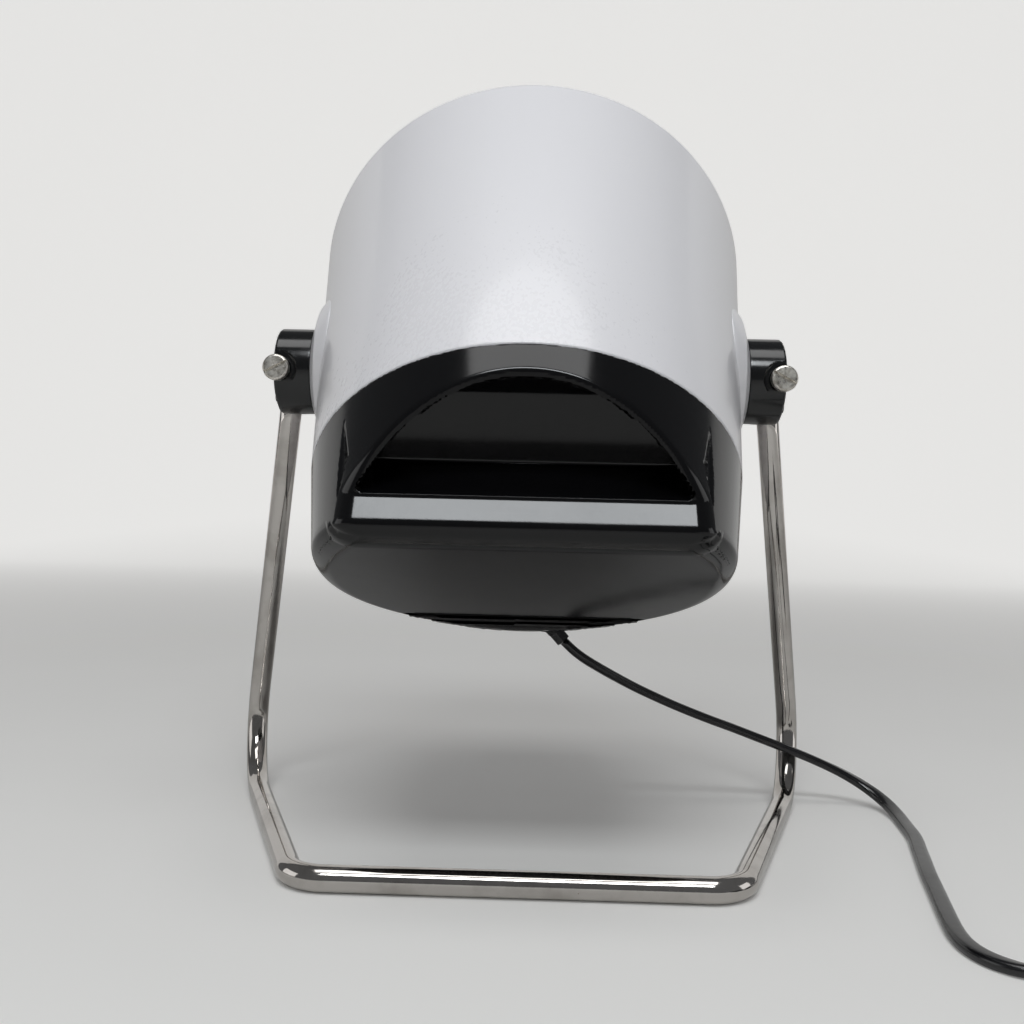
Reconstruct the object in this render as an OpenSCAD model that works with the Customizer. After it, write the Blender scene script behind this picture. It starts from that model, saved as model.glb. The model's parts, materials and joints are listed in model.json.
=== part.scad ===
// Table infrared heat lamp: a tilting head with a red reflector bulb, hung between the two
// legs of a bent-rod stand. Millimetres, +Z up, the beam leans towards +Y, the rear faces -Y.

/* [Stand] */
// Diameter of the bent stand rod
rod_d = 8; // [7:0.5:8.5]
// Height of the tilt axis above the table
pivot_h = 163.4; // [160:0.1:180]
// Distance of the tilt axis behind the origin
pivot_y = 7.4; // [4:0.1:8]
// Half distance between the leg axes at the height of the tilt axis
leg_x = 86.3; // [86:0.1:86.6]
// Half distance between the rear bends, where the legs reach the table
knee_x = 112.8; // [105:0.1:125]
// Distance of the rear bends behind the origin
knee_y = 62.1; // [52:0.1:64]
// Half distance between the front bends
front_x = 65.8; // [55:0.1:80]
// Distance of the front bar in front of the origin
front_y = 70.1; // [65:0.1:85]
// Centreline radius of the rear bends
knee_bend = 27; // [20:1:30]
// Centreline radius of the front bends
front_bend = 13; // [12:1:20]

/* [Head] */
// Upward tilt of the beam above level at rest
head_tilt = 45; // [0:1:60]
// Outer radius of the head at the tilt axis
head_r = 76; // [75.5:0.1:76.5]
// Growth of the shell radius towards the mouth, per millimetre
shell_flare = 0.105; // [0.09:0.005:0.12]
// Shrink of the cover radius towards the rear, per millimetre
cover_taper = 0.164; // [0.15:0.002:0.18]
// Wall of the shell and the cover
wall = 2.5; // [2.2:0.1:2.8]
// Distance of the mouth plane in front of the tilt axis
mouth_s = 54.6; // [54:0.1:58]
// Slant of the mouth plane in degrees
mouth_slant = 5; // [0:0.5:6]
// Distance of the parting plane behind the tilt axis
parting_s = 63; // [62:0.1:64]
// Slant of the parting plane in degrees
parting_slant = 9.3; // [8:0.1:10]

/* [Rear cover] */
// Distance of the end plane behind the tilt axis
end_s = 99.4; // [99:0.1:100]
// Slant of the end plane in degrees
end_slant = 27.9; // [27.5:0.1:28.2]
// Distance of the grip plane behind the tilt axis at the top of the cover
grip_s = 83.3; // [82.5:0.1:84]
// Height of that point above the head axis
grip_t = 66.1; // [65.5:0.1:66.5]
// Slant of the grip plane in degrees
grip_slant = 38.66; // [38:0.1:39.5]
// Radius between the back of the ledge and the end plane
nose_r = 9; // [7:0.5:10]
// Radius of the ledge's back edge
ledge_r = 4.5; // [4:0.5:5]
// Depth of the ledge under the finger pocket
ledge_out = 9.4; // [9:0.2:9.8]
// Fall of the ledge over that depth
ledge_drop = 3.5; // [3:0.5:4]
// Half width of the finger pocket
pocket_x = 46; // [43:0.5:46]
// Height of the straight lower lip of the finger pocket above the head axis
lip_t = 38.6; // [38:0.2:39.4]

/* [Cord] */
// Length of the mains cord from the grommet to the plug
cord_length = 1800; // [1750:10:1900]
// Width of the flat twin cord
cord_w = 5.3; // [5:0.1:5.6]
// Thickness of the flat twin cord
cord_t = 3.3; // [3:0.1:3.5]
// Turns in the put-away coil
coil_turns = 7.5; // [6.5, 7.5, 8.5]

/* [Hidden] */
$fn = 64;

// Colours
white = [0.93, 0.93, 0.95];
black = [0.04, 0.04, 0.045];
chrome = [0.75, 0.75, 0.77];
steel = [0.6, 0.6, 0.62];
brass = [0.8, 0.65, 0.3];
ceramic = [0.92, 0.91, 0.87];
ruby = [0.6, 0.02, 0.02];
silvered = [0.8, 0.8, 0.82];

// ---- Vectors and frames ----
function unit(v) = v / norm(v);
function reversed(list) = [for (i = [len(list) - 1:-1:0]) list[i]];
function total(list, i = 0) = i < len(list) ? list[i] + total(list, i + 1) : 0;
function smooth(x) = x <= 0 ? 0 : x >= 1 ? 1 : x * x * (3 - 2 * x);

// The head frame is x across, s along the beam and t at right angles to it, upward.
module in_head() {
    translate([0, pivot_y, pivot_h]) rotate([head_tilt, 0, 0]) children();
}

// Turns a profile of (radius, s) about the head's axis.
module revolve() {
    rotate([-90, 0, 0]) rotate_extrude($fn = 96) children();
}

// Turns a profile of (radius, x) about the tilt axis, pointing to +x.
module revolve_x() {
    rotate([0, 90, 0]) rotate_extrude() children();
}

// Lays a drawing of (s, t) in the head's middle plane and gives it a width across.
module across(width) {
    rotate([90, 0, 90]) linear_extrude(width, center = true) children();
}

// A cylinder along the head's axis from s0 to s1, at (x, t).
module along(x, t, s0, s1, r) {
    translate([x, s0, t]) rotate([-90, 0, 0]) cylinder(h = s1 - s0, r = r);
}

// A cylinder between two points.
module bar(a, b, r) {
    v = b - a;
    translate(a) rotate([0, acos(v.z / norm(v)), atan2(v.y, v.x)]) cylinder(h = norm(v), r = r);
}

// Everything behind (-1) or in front of (+1) the plane s = s0 + tan(slant) * t.
module halfspace(s0, slant, side) {
    big = 300;
    translate([0, s0, 0]) rotate([-slant, 0, 0])
        translate([-big / 2, side > 0 ? 0 : -big, -big / 2]) cube(big);
}

module both_sides() {
    children();
    mirror([1, 0, 0]) children();
}

// ---- Swept flat cord ----
// Each ring is an oval whose long axis lies along wide[i]; faces are triangles.
module swept(path, wide, w, h, sides) {
    n = len(path);
    tangents = [for (i = [0:n - 1]) unit(path[min(i + 1, n - 1)] - path[max(i - 1, 0)])];
    points = [
        for (i = [0:n - 1])
            let (thin = unit(cross(tangents[i], wide[i])), long = cross(thin, tangents[i]))
            for (k = [0:sides - 1])
                path[i] + long * cos(360 * k / sides) * w / 2 + thin * sin(360 * k / sides) * h / 2
    ];
    skin = [
        for (i = [0:n - 2]) for (k = [0:sides - 1])
            let (a = i * sides + k, b = i * sides + (k + 1) % sides)
            each [[a, a + sides, b + sides], [a, b + sides, b]]
    ];
    last = (n - 1) * sides;
    caps = [for (k = [1:sides - 2]) each [[0, k, k + 1], [last, last + k + 1, last + k]]];
    polyhedron(points, concat(skin, caps));
}

// ---- Head outline ----
parting_rise = -tan(parting_slant);
end_rise = -tan(end_slant);
grip_rise = tan(grip_slant);
split_s = -62.9;

function outer_r(s) = s > split_s
    ? head_r + shell_flare * s
    : head_r + shell_flare * split_s - cover_taper * (split_s - s);
function parting_at(t) = -parting_s + parting_rise * t;
function end_at(t, inset) = -end_s + inset / cos(end_slant) + end_rise * t;
function grip_at(t, inset) = -grip_s + inset / cos(grip_slant) + grip_rise * (t - grip_t);

// Ring of the head wall from s0 behind the split to s1 before it, from inset a to inset b.
module wall_ring(s0, s1, a, b) {
    revolve() polygon([
        [outer_r(s0) - b, s0], [outer_r(s0) - a, s0], [outer_r(split_s) - a, split_s],
        [outer_r(s1) - a, s1], [outer_r(s1) - b, s1], [outer_r(split_s) - b, split_s]
    ]);
}

// Side view of the cover, moved inward by inset: the grip plane, the ledge under the pocket
// with its rounded back edge, and the end plane.
nose_steps = 6;
side_t = 80;
corner_t = (end_at(0, 0) - grip_at(0, 0)) / (grip_rise - end_rise);
side_line = [
    [grip_at(side_t, 0), side_t], [grip_at(lip_t, 0), lip_t],
    [grip_at(lip_t, 0) - ledge_out, lip_t - ledge_drop], [end_at(corner_t, 0), corner_t],
    [end_at(-side_t, 0), -side_t]
];
function inward(i) = let (d = unit(side_line[i + 1] - side_line[i])) [-d[1], d[0]];
function side_corner(i, inset) =
    let (
        d = side_line[i] - side_line[i - 1],
        e = side_line[i + 1] - side_line[i],
        p = side_line[i] + inward(i - 1) * inset,
        q = side_line[i] + inward(i) * inset
    )
    p + d * cross(q - p, e) / cross(d, e);
function side_round(i, inset, r) =
    let (
        q = side_corner(i, inset),
        up = unit(side_line[i - 1] - side_line[i]),
        down = unit(side_line[i + 1] - side_line[i]),
        half = acos(up * down) / 2,
        centre = q + unit(up + down) * r / sin(half),
        first = q + up * r / tan(half) - centre,
        last = q + down * r / tan(half) - centre,
        a0 = atan2(first[1], first[0]),
        a1 = atan2(last[1], last[0]) + (atan2(last[1], last[0]) < a0 ? 360 : 0)
    )
    [for (k = [0:nose_steps]) let (a = a0 + (a1 - a0) * k / nose_steps)
        centre + r * [cos(a), sin(a)]];
module cover_side(inset, front_s) {
    polygon(concat(
        [[front_s, side_t], [min(grip_at(side_t, inset), front_s - 1), side_t]],
        [side_corner(1, inset)],
        side_round(2, inset, ledge_r - inset),
        side_round(3, inset, nose_r - inset),
        [[end_at(-side_t, inset), -side_t], [front_s, -side_t]]
    ));
}
rear_limit = -125;
module cover_mass(inset) {
    intersection() {
        revolve() polygon([
            [0, rear_limit], [outer_r(rear_limit) - inset, rear_limit],
            [outer_r(split_s) - inset, split_s], [outer_r(-40) - inset, -40], [0, -40]
        ]);
        across(200) cover_side(inset, -40);
    }
}

// ---- Finger pocket ----
pocket_wall = 2.2;
pocket_deep_s = -84;
pocket_deep_t = 32;
pocket_top_s = -76.5;
pocket_top_t = 52;
rim_wall = 2.2;
module pocket_side(grow) {
    polygon([
        [-140, lip_t + 0.6 - grow], [grip_at(lip_t, 0), lip_t - grow],
        [pocket_deep_s + grow / 2, pocket_deep_t - grow], [pocket_top_s + grow, pocket_top_t - grow],
        [pocket_top_s - 1 + grow, 90], [-140, 90]
    ]);
}

// The pocket reaches up under the cover's wall, whose edge is the rim of the opening.
module pocket(grow) {
    intersection() {
        across(2 * (pocket_x + grow)) pocket_side(grow);
        revolve() polygon([
            [0, -150], [outer_r(-150) - rim_wall + grow, -150],
            [outer_r(split_s) - rim_wall + grow, split_s], [0, split_s]
        ]);
    }
}

// ---- Screws that hold the cover ----
screw_r = 1.5;
screw_bore = 1.55;
cover_screw_ring = 60.5;
cover_screw_angles = [65, -65, 145, -145];
lug_back = 4.6;
lug_thick = 3;
cover_boss_r = 4;
cover_boss_len = 14;
function cover_screw_x(a) = cover_screw_ring * sin(a);
function cover_screw_t(a) = cover_screw_ring * cos(a);
function lug_s(a) = parting_at(cover_screw_t(a)) + lug_back;

// ---- Tilt axis ----
boss_x = 77.4;
boss_inner_x = 69;
boss_profile = [
    [0, boss_inner_x], [30, boss_inner_x], [30, 69.8], [24, 75], [17.3, boss_x], [0, boss_x]
];
stud_r = 4;
stud_clearance = 0.05;
bush_r = 6;
bush_flange_r = 8;
bush_flange = 1.2;
washer_x = 66.4;
washer_thick = 1.2;
nut_x = 61.5;
nut_thick = 4.6;
stud_end_x = 61;

// ---- Head shell ----
module shell() {
    color(white) in_head() difference() {
        union() {
            difference() {
                wall_ring(-90, 70, 0, wall);
                halfspace(mouth_s, mouth_slant, 1);
                halfspace(-parting_s, -parting_slant, -1);
            }
            both_sides() revolve_x() polygon(boss_profile);
            intersection() {
                for (a = cover_screw_angles)
                    along(cover_screw_x(a), cover_screw_t(a), lug_s(a), lug_s(a) + lug_thick, 7.5);
                rotate([90, 0, 0]) cylinder(h = 90, r = outer_r(-60) - 1);
            }
        }
        for (a = cover_screw_angles)
            along(cover_screw_x(a), cover_screw_t(a), -90, 0, 1.8);
        both_sides() revolve_x() translate([0, 60]) square([bush_r, 30]);
    }
}

// ---- Rear cover ----
plate_s = -72;
plate_thick = 1.2;
plate_posts = [[36, 8], [-36, 8], [0, -30]];
post_r = 4;
seat_s = -61.7;
seat_depth = 18;
seat_width = 24;
clamp_x = 10;
clamp_t0 = -57;
clamp_t1 = -51;
clamp_t = (clamp_t0 + clamp_t1) / 2;
clamp_screw_dx = 8;
module rear_cover() {
    color(black) in_head() difference() {
        union() {
            difference() {
                cover_mass(0);
                difference() {
                    cover_mass(wall);
                    pocket(pocket_wall);
                }
                halfspace(-parting_s, -parting_slant, 1);
            }
            difference() {
                union() {
                    wall_ring(-85, -40, wall + 0.2, wall + 2.2);
                    difference() {
                        wall_ring(-86, -40, 1, wall + 1.2);
                        halfspace(-parting_s, -parting_slant, 1);
                    }
                }
                halfspace(-parting_s + 3.2, -parting_slant, 1);
                halfspace(-parting_s - 4, -parting_slant, -1);
                across(2 * (pocket_x + pocket_wall + 1))
                    polygon([[-90, 30], [-90, 90], [-40, 90], [-40, 30]]);
            }
            intersection() {
                cover_mass(1);
                union() {
                    for (a = cover_screw_angles)
                        along(cover_screw_x(a), cover_screw_t(a), lug_s(a) - lug_back - cover_boss_len,
                            lug_s(a), cover_boss_r);
                    for (a = cover_screw_angles)
                        rotate([0, a, 0]) translate([-1, lug_s(a) - lug_back - cover_boss_len + 2, 62])
                            cube([2, cover_boss_len - 4, 6]);
                    for (p = plate_posts) along(p[0], p[1], rear_limit, plate_s, post_r);
                    translate([clamp_x - seat_width / 2, seat_s - seat_depth, clamp_t0])
                        cube([seat_width, seat_depth, clamp_t1 - clamp_t0]);
                }
            }
        }
        pocket(0);
        for (a = cover_screw_angles)
            along(cover_screw_x(a), cover_screw_t(a), lug_s(a) - 13, -30, screw_bore);
        for (p = plate_posts) along(p[0], p[1], plate_s - 7, plate_s + 1, screw_bore);
        for (dx = [-clamp_screw_dx, clamp_screw_dx])
            along(clamp_x + dx, clamp_t, seat_s - 4.5, seat_s + 1, screw_bore);
        gland_bore();
    }
}

// A screw along the head's axis, its head at s, its tip towards the rear.
module rear_screw(x, t, s, length, head_r, head_h) {
    difference() {
        union() {
            along(x, t, s - length, s, screw_r);
            along(x, t, s, s + head_h, head_r);
        }
        translate([x - head_r, s + head_h - 0.8, t - 0.4]) cube([2 * head_r, 1, 0.8]);
    }
}

module cover_screws() {
    color(steel) in_head() for (a = cover_screw_angles)
        rear_screw(cover_screw_x(a), cover_screw_t(a), lug_s(a) + lug_thick, 14, 3, 2);
}

// ---- Lampholder on its plate ----
holder_hole_r = 19.3;
holder_r = 19;
holder_flange_r = 26;
holder_screw_x = 22.5;
holder_back_s = -83.5;
holder_front_s = -60;
plate_r = 44;
plate_cut_t = -38;
module mounting_plate() {
    color(silvered) in_head() difference() {
        along(0, 0, plate_s, plate_s + plate_thick, plate_r);
        along(0, 0, plate_s - 1, plate_s + 3, holder_hole_r);
        translate([-60, plate_s - 1, plate_cut_t - 60]) cube([120, 4, 60]);
        for (p = plate_posts) along(p[0], p[1], plate_s - 1, plate_s + 3, 1.7);
        for (x = [-holder_screw_x, holder_screw_x]) along(x, 0, plate_s - 1, plate_s + 3, 1.6);
    }
}

module plate_screws() {
    color(steel) in_head() for (p = plate_posts)
        rear_screw(p[0], p[1], plate_s + plate_thick, 7.5, 2.8, 1.8);
}

module lampholder_body() {
    front = plate_s + plate_thick;
    color(ceramic) in_head() difference() {
        revolve() polygon([
            [0, -89], [10, -89], [10, holder_back_s], [holder_r, holder_back_s], [holder_r, front],
            [holder_flange_r, front], [holder_flange_r, front + 3], [holder_r, front + 3],
            [18.2, holder_front_s], [14.6, holder_front_s], [14.6, -82.6], [8.5, -82.6],
            [8.5, -86.5], [0, -86.5]
        ]);
        for (x = [-holder_screw_x, holder_screw_x]) along(x, 0, front - 1, front + 4, screw_bore);
    }
}

module lampholder_screws() {
    color(steel) in_head() mirror([0, 1, 0]) for (x = [-holder_screw_x, holder_screw_x])
        rear_screw(x, 0, -plate_s, 4, 2.8, 1.8);
}

// Wavy profile of a rolled lamp thread between two s values.
function thread_wave(s0, s1, r, depth, pitch) =
    let (n = round((s1 - s0) / pitch * 2))
    [for (i = [0:n]) [r - (i % 2) * depth, s0 + (s1 - s0) * i / n]];
thread_pitch = 3.6;

module lampholder_thread() {
    inner = thread_wave(-82, -62.2, 13.85, 0.35, thread_pitch);
    color(brass) in_head() revolve() polygon(concat(
        inner, reversed([for (p = inner) [p[0] + 0.4, p[1]]])
    ));
}

module lampholder_contact() {
    color(brass) in_head() {
        along(0, 0, -86.5, -85.3, 1.5);
        along(0, 0, -85.3, -84.7, 4.5);
    }
}

terminal_x = 14.5;
terminal_s = [-87.2, -83.5];
module terminals() {
    color(brass) in_head() both_sides() difference() {
        translate([terminal_x - 3.2, terminal_s[0], -3.2])
            cube([6.4, terminal_s[1] - terminal_s[0], 6.4]);
        translate([terminal_x, -85.3, 0]) cylinder(h = 10, r = 1.05);
    }
}

module terminal_screws() {
    color(steel) in_head() both_sides() difference() {
        translate([terminal_x, -85.3, 0]) union() {
            cylinder(h = 5, r = 1);
            translate([0, 0, 3.4]) cylinder(h = 1.6, r = 1.7);
        }
        translate([terminal_x - 2, -85.3 - 0.3, 4.4]) cube([4, 0.6, 1]);
    }
}

// ---- Wiring inside the cover ----
lead_d = 2.2;
lead_rise = [
    [11.5, -76, -33.5], [14, -79.5, -25], [17, -83, -17.5], [16, -85, -11],
    [terminal_x, -85.3, -6.5], [terminal_x, -85.3, -3.2]
];
function flipped(list) = [for (p = list) [-p[0], p[1], p[2]]];
live_path = concat(
    [[11.4, -60, -50], [11.4, -60, -48.6], [11.2, -63, -46.4], [10.4, -70, -43.5], [10.8, -73.2, -39.2]],
    lead_rise
);
neutral_path = concat(
    [
        [8.6, -60, -50], [8.6, -60, -48.8], [6.8, -62, -47.6], [0, -66.5, -46], [-6, -70, -43.5],
        [-9, -73.2, -39.2]
    ],
    flipped(lead_rise)
);
module lead(path) {
    swept(path, [for (p = path) [1, 0, 0]], lead_d, lead_d, 8);
}
module lead_live() {
    color("saddlebrown") in_head() lead(live_path);
}
module lead_neutral() {
    color("royalblue") in_head() lead(neutral_path);
}

// ---- Cord grommet: its axis points away from the tilt axis and leans to +x ----
gland_wall = [9.7, -60, -69];
gland_lean = 42;
gland_r = 4;
gland_tip_r = 97.5;
gland_radial = unit([0, gland_wall[1], gland_wall[2]]);
gland_dir = gland_radial * cos(gland_lean) + [sin(gland_lean), 0, 0];
gland_out = (gland_tip_r - norm([gland_wall[1], gland_wall[2]])) / cos(gland_lean);
gland_in = 4.5;
gland_wide = unit([1, 0, 0] - gland_dir * gland_dir[0]);
gland_thin = cross(gland_dir, gland_wide);
gland_tip = gland_wall + gland_dir * gland_out;
function at_rest(p) = [
    p.x,
    pivot_y + p.y * cos(head_tilt) - p.z * sin(head_tilt),
    pivot_h + p.y * sin(head_tilt) + p.z * cos(head_tilt)
];
echo(tip_at_rest = at_rest(gland_tip), tip_dir = at_rest(gland_tip + gland_dir) - at_rest(gland_tip));
gland_root = gland_wall - gland_dir * gland_in;

// Lays a drawing across the grommet's axis, its x along the cord's width.
module on_gland() {
    e = gland_wide;
    f = gland_thin;
    g = gland_dir;
    p = gland_wall;
    multmatrix([
        [e[0], f[0], g[0], p[0]], [e[1], f[1], g[1], p[1]], [e[2], f[2], g[2], p[2]], [0, 0, 0, 1]
    ]) children();
}
module gland_bore() {
    on_gland() translate([0, 0, -12]) cylinder(h = 40, r = gland_r + 0.05);
}
module oval_hole() {
    flat = cord_w - cord_t;
    square([flat, cord_t + 0.1], center = true);
    for (x = [-flat / 2, flat / 2]) translate([x, 0]) circle(d = cord_t + 0.1);
}
module cord_grommet() {
    color(black) in_head() on_gland() difference() {
        union() {
            translate([0, 0, -gland_in]) cylinder(h = gland_in + 3, r = gland_r);
            translate([0, 0, 3]) cylinder(h = gland_out - 3, r1 = gland_r, r2 = 3.6);
        }
        translate([0, 0, -20]) linear_extrude(50) oval_hole();
    }
}

// The sheathed cord inside: through the grommet, round a bend and under the clamp.
tail_path = concat(
    [gland_tip, gland_wall, gland_root, gland_root - gland_dir * 2],
    [
        [4.9, -56.7, -63.2], [5.8, -57.6, -61], [8, -59.4, -59], [9.7, -60, -57.6],
        [clamp_x, -60, -56], [clamp_x, -60, -50]
    ]
);
tail_wide = [
    for (i = [0:len(tail_path) - 1]) i < 4 ? gland_wide : i < 7 ? unit(gland_wide + [1, 0, 0]) : [1, 0, 0]
];
module cord_tail() {
    color(black) in_head() swept(tail_path, tail_wide, cord_w, cord_t, 8);
}

clamp_bar_s = -58.3;
clamp_bar_thick = 3;
clamp_bar_width = 23;
module cord_clamp() {
    color(ceramic) in_head() difference() {
        translate([clamp_x - clamp_bar_width / 2, clamp_bar_s, clamp_t0])
            cube([clamp_bar_width, clamp_bar_thick, clamp_t1 - clamp_t0]);
        for (dx = [-clamp_screw_dx, clamp_screw_dx])
            along(clamp_x + dx, clamp_t, -70, -50, 1.6);
    }
}
module cord_clamp_screws() {
    color(steel) in_head() for (dx = [-clamp_screw_dx, clamp_screw_dx])
        rear_screw(clamp_x + dx, clamp_t, clamp_bar_s + clamp_bar_thick, 7, 2.6, 1.6);
}

// ---- Reflector bulb ----
glass = 1;
bulb_neck = [[17, -58], [18, -54], [20.5, -47], [26, -37.5]];
bulb_flank = [[34.5, -25], [43.5, -11], [51.5, 3], [57.5, 16], [60, 24], [60.5, 30]];
bulb_face = [[60.5, 30], [59.6, 35.5], [56.5, 41], [50, 46.2], [40, 49.8], [27, 52], [13.5, 53], [0, 53.2]];
module bulb_reflector() {
    skin = concat(bulb_neck, bulb_flank);
    color(silvered) in_head() revolve() polygon(concat(
        skin, reversed([for (p = skin) [p[0] - glass, p[1]]])
    ));
}
module bulb_lens() {
    inner = [for (p = bulb_face) [max(p[0] - glass, 0), p[0] > 60 ? p[1] : p[1] - glass]];
    color(ruby) in_head() revolve() polygon(concat(bulb_face, reversed(inner)));
}
module bulb_cap() {
    wave = thread_wave(-81, -61, 13.2, 0.6, thread_pitch);
    color(brass) in_head() revolve() polygon(concat(
        [[11, -82], [12.2, -82]], wave, [[13, -60], [13, -58], [12, -58], [12, -80.4], [11, -80.4]]
    ));
}
module bulb_insulator() {
    color(black) in_head() revolve() polygon([
        [4.6, -83.4], [5.5, -83.4], [10.9, -81.4], [10.9, -80.6], [4.6, -80.6]
    ]);
}
module bulb_contact() {
    color(silvered) in_head() revolve() polygon([
        [0, -84.6], [3, -84.6], [4.5, -83.9], [4.5, -81], [0, -81]
    ]);
}
filament_s = 8;
module bulb_stem() {
    color([0.8, 0.85, 0.85]) in_head() {
        revolve() polygon([[0, -57], [11.5, -57], [6, -48], [3.5, -30], [0, -28]]);
        both_sides() bar([1.6, -31, 0], [9, filament_s, 0], 0.5);
    }
}
module bulb_filament() {
    color(steel) in_head() translate([0, filament_s + 0.55, 0]) rotate([90, 0, 0])
        rotate_extrude(angle = 180) translate([9, 0]) circle(r = 0.55, $fn = 16);
}

// ---- Tilt joint, drawn for the +x side ----
module pivot_bush() {
    color(brass) in_head() difference() {
        revolve_x() polygon([
            [0, boss_inner_x - bush_flange], [bush_flange_r, boss_inner_x - bush_flange],
            [bush_flange_r, boss_inner_x], [bush_r - 0.02, boss_inner_x], [bush_r - 0.02, boss_x],
            [0, boss_x]
        ]);
        revolve_x() translate([0, 60]) square([stud_r + stud_clearance, 30]);
    }
}
module spring_washer() {
    color(steel) in_head() revolve_x() translate([stud_r + 0.3, washer_x])
        square([3.5, washer_thick]);
}
module at_pivot() {
    translate([0, pivot_y, pivot_h]) children();
}
collar_x = 79.8;
collar_thick = 2.5;
stud_head_x = 86.8;
module stud_solid(grow) {
    revolve_x() translate([0, stud_end_x]) square([stud_r + grow, stud_head_x - stud_end_x]);
    translate([collar_x, 0, 0]) rotate([0, 90, 0]) cylinder(h = collar_thick, r = 6.3, $fn = 6);
}
module pivot_stud() {
    color(steel) at_pivot() stud_solid(0);
}
module pivot_nut() {
    color(steel) at_pivot() difference() {
        translate([nut_x, 0, 0]) rotate([0, 90, 0]) cylinder(h = nut_thick, r = 7.5, $fn = 6);
        revolve_x() translate([0, 50]) square([stud_r + 0.01, 30]);
    }
}

// ---- Bent rod ----
knee_at = [knee_x, knee_y, rod_d / 2];
corner_at = [front_x, -front_y, rod_d / 2];
leg_top = [leg_x, pivot_y, pivot_h];
rod_end_z = 157;
rod_end = knee_at + (leg_top - knee_at) * (rod_end_z - knee_at.z) / (leg_top.z - knee_at.z);
function left(p) = [-p.x, p.y, p.z];
rod_points = [left(rod_end), left(knee_at), left(corner_at), corner_at, knee_at, rod_end];
rod_bends = [0, knee_bend, front_bend, front_bend, knee_bend, 0];
function half_turn(a, v, b) = acos(unit(a - v) * unit(b - v)) / 2;
function setback(i) = rod_bends[i] == 0 ? 0
    : rod_bends[i] / tan(half_turn(rod_points[i - 1], rod_points[i], rod_points[i + 1]));
// The bends are a hair thinner than the straights and reach a little way into them.
bend_step = 0.02;
bend_reach = 1;
module rod_bend(a, v, b, r) {
    u = unit(a - v);
    w = unit(b - v);
    half = half_turn(a, v, b);
    c = v + unit(u + w) * r / sin(half);
    e = unit(v + u * r / tan(half) - c);
    n = unit(cross(w, u));
    f = cross(n, e);
    multmatrix([
        [e.x, f.x, n.x, c.x], [e.y, f.y, n.y, c.y], [e.z, f.z, n.z, c.z], [0, 0, 0, 1]
    ]) rotate([0, 0, -bend_reach]) rotate_extrude(angle = 180 - 2 * half + 2 * bend_reach)
        translate([r, 0]) circle(d = rod_d - 2 * bend_step);
}
module stand_rod() {
    color(chrome) union() {
        for (i = [0:len(rod_points) - 2]) {
            v = unit(rod_points[i + 1] - rod_points[i]);
            bar(rod_points[i] + v * setback(i), rod_points[i + 1] - v * setback(i + 1), rod_d / 2);
        }
        for (i = [1:len(rod_points) - 2])
            rod_bend(rod_points[i - 1], rod_points[i], rod_points[i + 1], rod_bends[i]);
    }
}

// ---- Pivot block with its clamp screw ----
block_x = 77.8;
block_r = 15.5;
block_profile = [
    [0, block_x], [block_r - 0.6, block_x], [block_r, block_x + 0.6], [block_r, 88.4],
    [15, 90], [13.2, 91], [8, 91.6], [0, 91.8]
];
lug_r = 5.5;
screw_x = 89.3;
screw_z = pivot_h - 1;
head_front_y = pivot_y - 19;
head_thick = 3;
head_seat_y = pivot_y - 14.6;
nut_back_y = pivot_y + 11;
clamp_nut_thick = 2.4;
split_gap = 0.8;
leg_dir = unit(leg_top - knee_at);
module clamp_hole(r, y0, y1) {
    translate([screw_x, y0, screw_z]) rotate([-90, 0, 0]) cylinder(h = y1 - y0, r = r);
}
module pivot_block() {
    color(black) difference() {
        union() {
            at_pivot() revolve_x() polygon(block_profile);
            bar(rod_end - leg_dir * 4, rod_end + leg_dir * 11, lug_r);
        }
        bar(rod_end - leg_dir * 30, rod_end + leg_dir * 0.3, rod_d / 2 + 0.02);
        at_pivot() stud_solid(0.01);
        clamp_hole(6.4, -40, head_seat_y);
        clamp_hole(1.6, -40, 40);
        clamp_hole(3.6, nut_back_y, 40);
    }
}
module clamp_screw() {
    head_back_y = head_front_y + head_thick;
    color(steel) difference() {
        union() {
            clamp_hole(screw_r, head_back_y - 1, nut_back_y + clamp_nut_thick + 1);
            clamp_hole(3.4, head_back_y - 1, head_seat_y);
            clamp_hole(4.6, head_front_y, head_back_y);
        }
        translate([screw_x, head_front_y, screw_z]) rotate([0, 28, 0])
            translate([-6, -1, -0.6]) cube([12, 2.3, 1.2]);
    }
}
module clamp_nut() {
    color(steel) difference() {
        translate([screw_x, nut_back_y, screw_z]) rotate([-90, 0, 0])
            cylinder(h = clamp_nut_thick, r = 3.2, $fn = 6);
        clamp_hole(screw_r + 0.01, 0, 40);
    }
}

// ---- Free cord, from the grommet to the coil ----
cord_route = [
    [15.3, 14.2, 66], [19.5, 14.6, 62.2], [24, 15.6, 59], [30, 17.8, 55.4], [36, 20.4, 52],
    [43.5, 23.4, 48], [51, 26, 44.4], [58.5, 28.6, 41], [66.2, 31, 37.8], [74, 33.4, 34.7],
    [82, 36, 31.7], [90, 38.2, 28.6], [98.3, 40, 25.4], [106.5, 42, 22.2],
    [114.5, 43.8, 19], [122, 45, 15.8], [129, 45.2, 12.6], [135.5, 43.6, 9.2],
    [140.6, 39.8, 6], [143.4, 33.4, 3.6], [144, 25.4, 2.2], [143.2, 16.4, 1.7], [140.5, -2.6, 1.7],
    [137, -16.6, 1.7], [134, -28.6, 1.7], [130.4, -42.6, 1.7], [127, -57.6, 1.7], [124, -70.6, 1.7],
    [121.3, -82.6, 1.7], [119.6, -91.6, 1.7], [119.2, -100.1, 1.7], [121.2, -107.6, 1.7],
    [126, -113.2, 1.7], [132.6, -116.2, 1.8], [139, -119.2, 2.2], [143.6, -123.6, 2.9],
    [146, -129, 3.35], [146.5, -133.6, 3.35]
];
roll_from = 31;
roll_over = 5;
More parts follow.
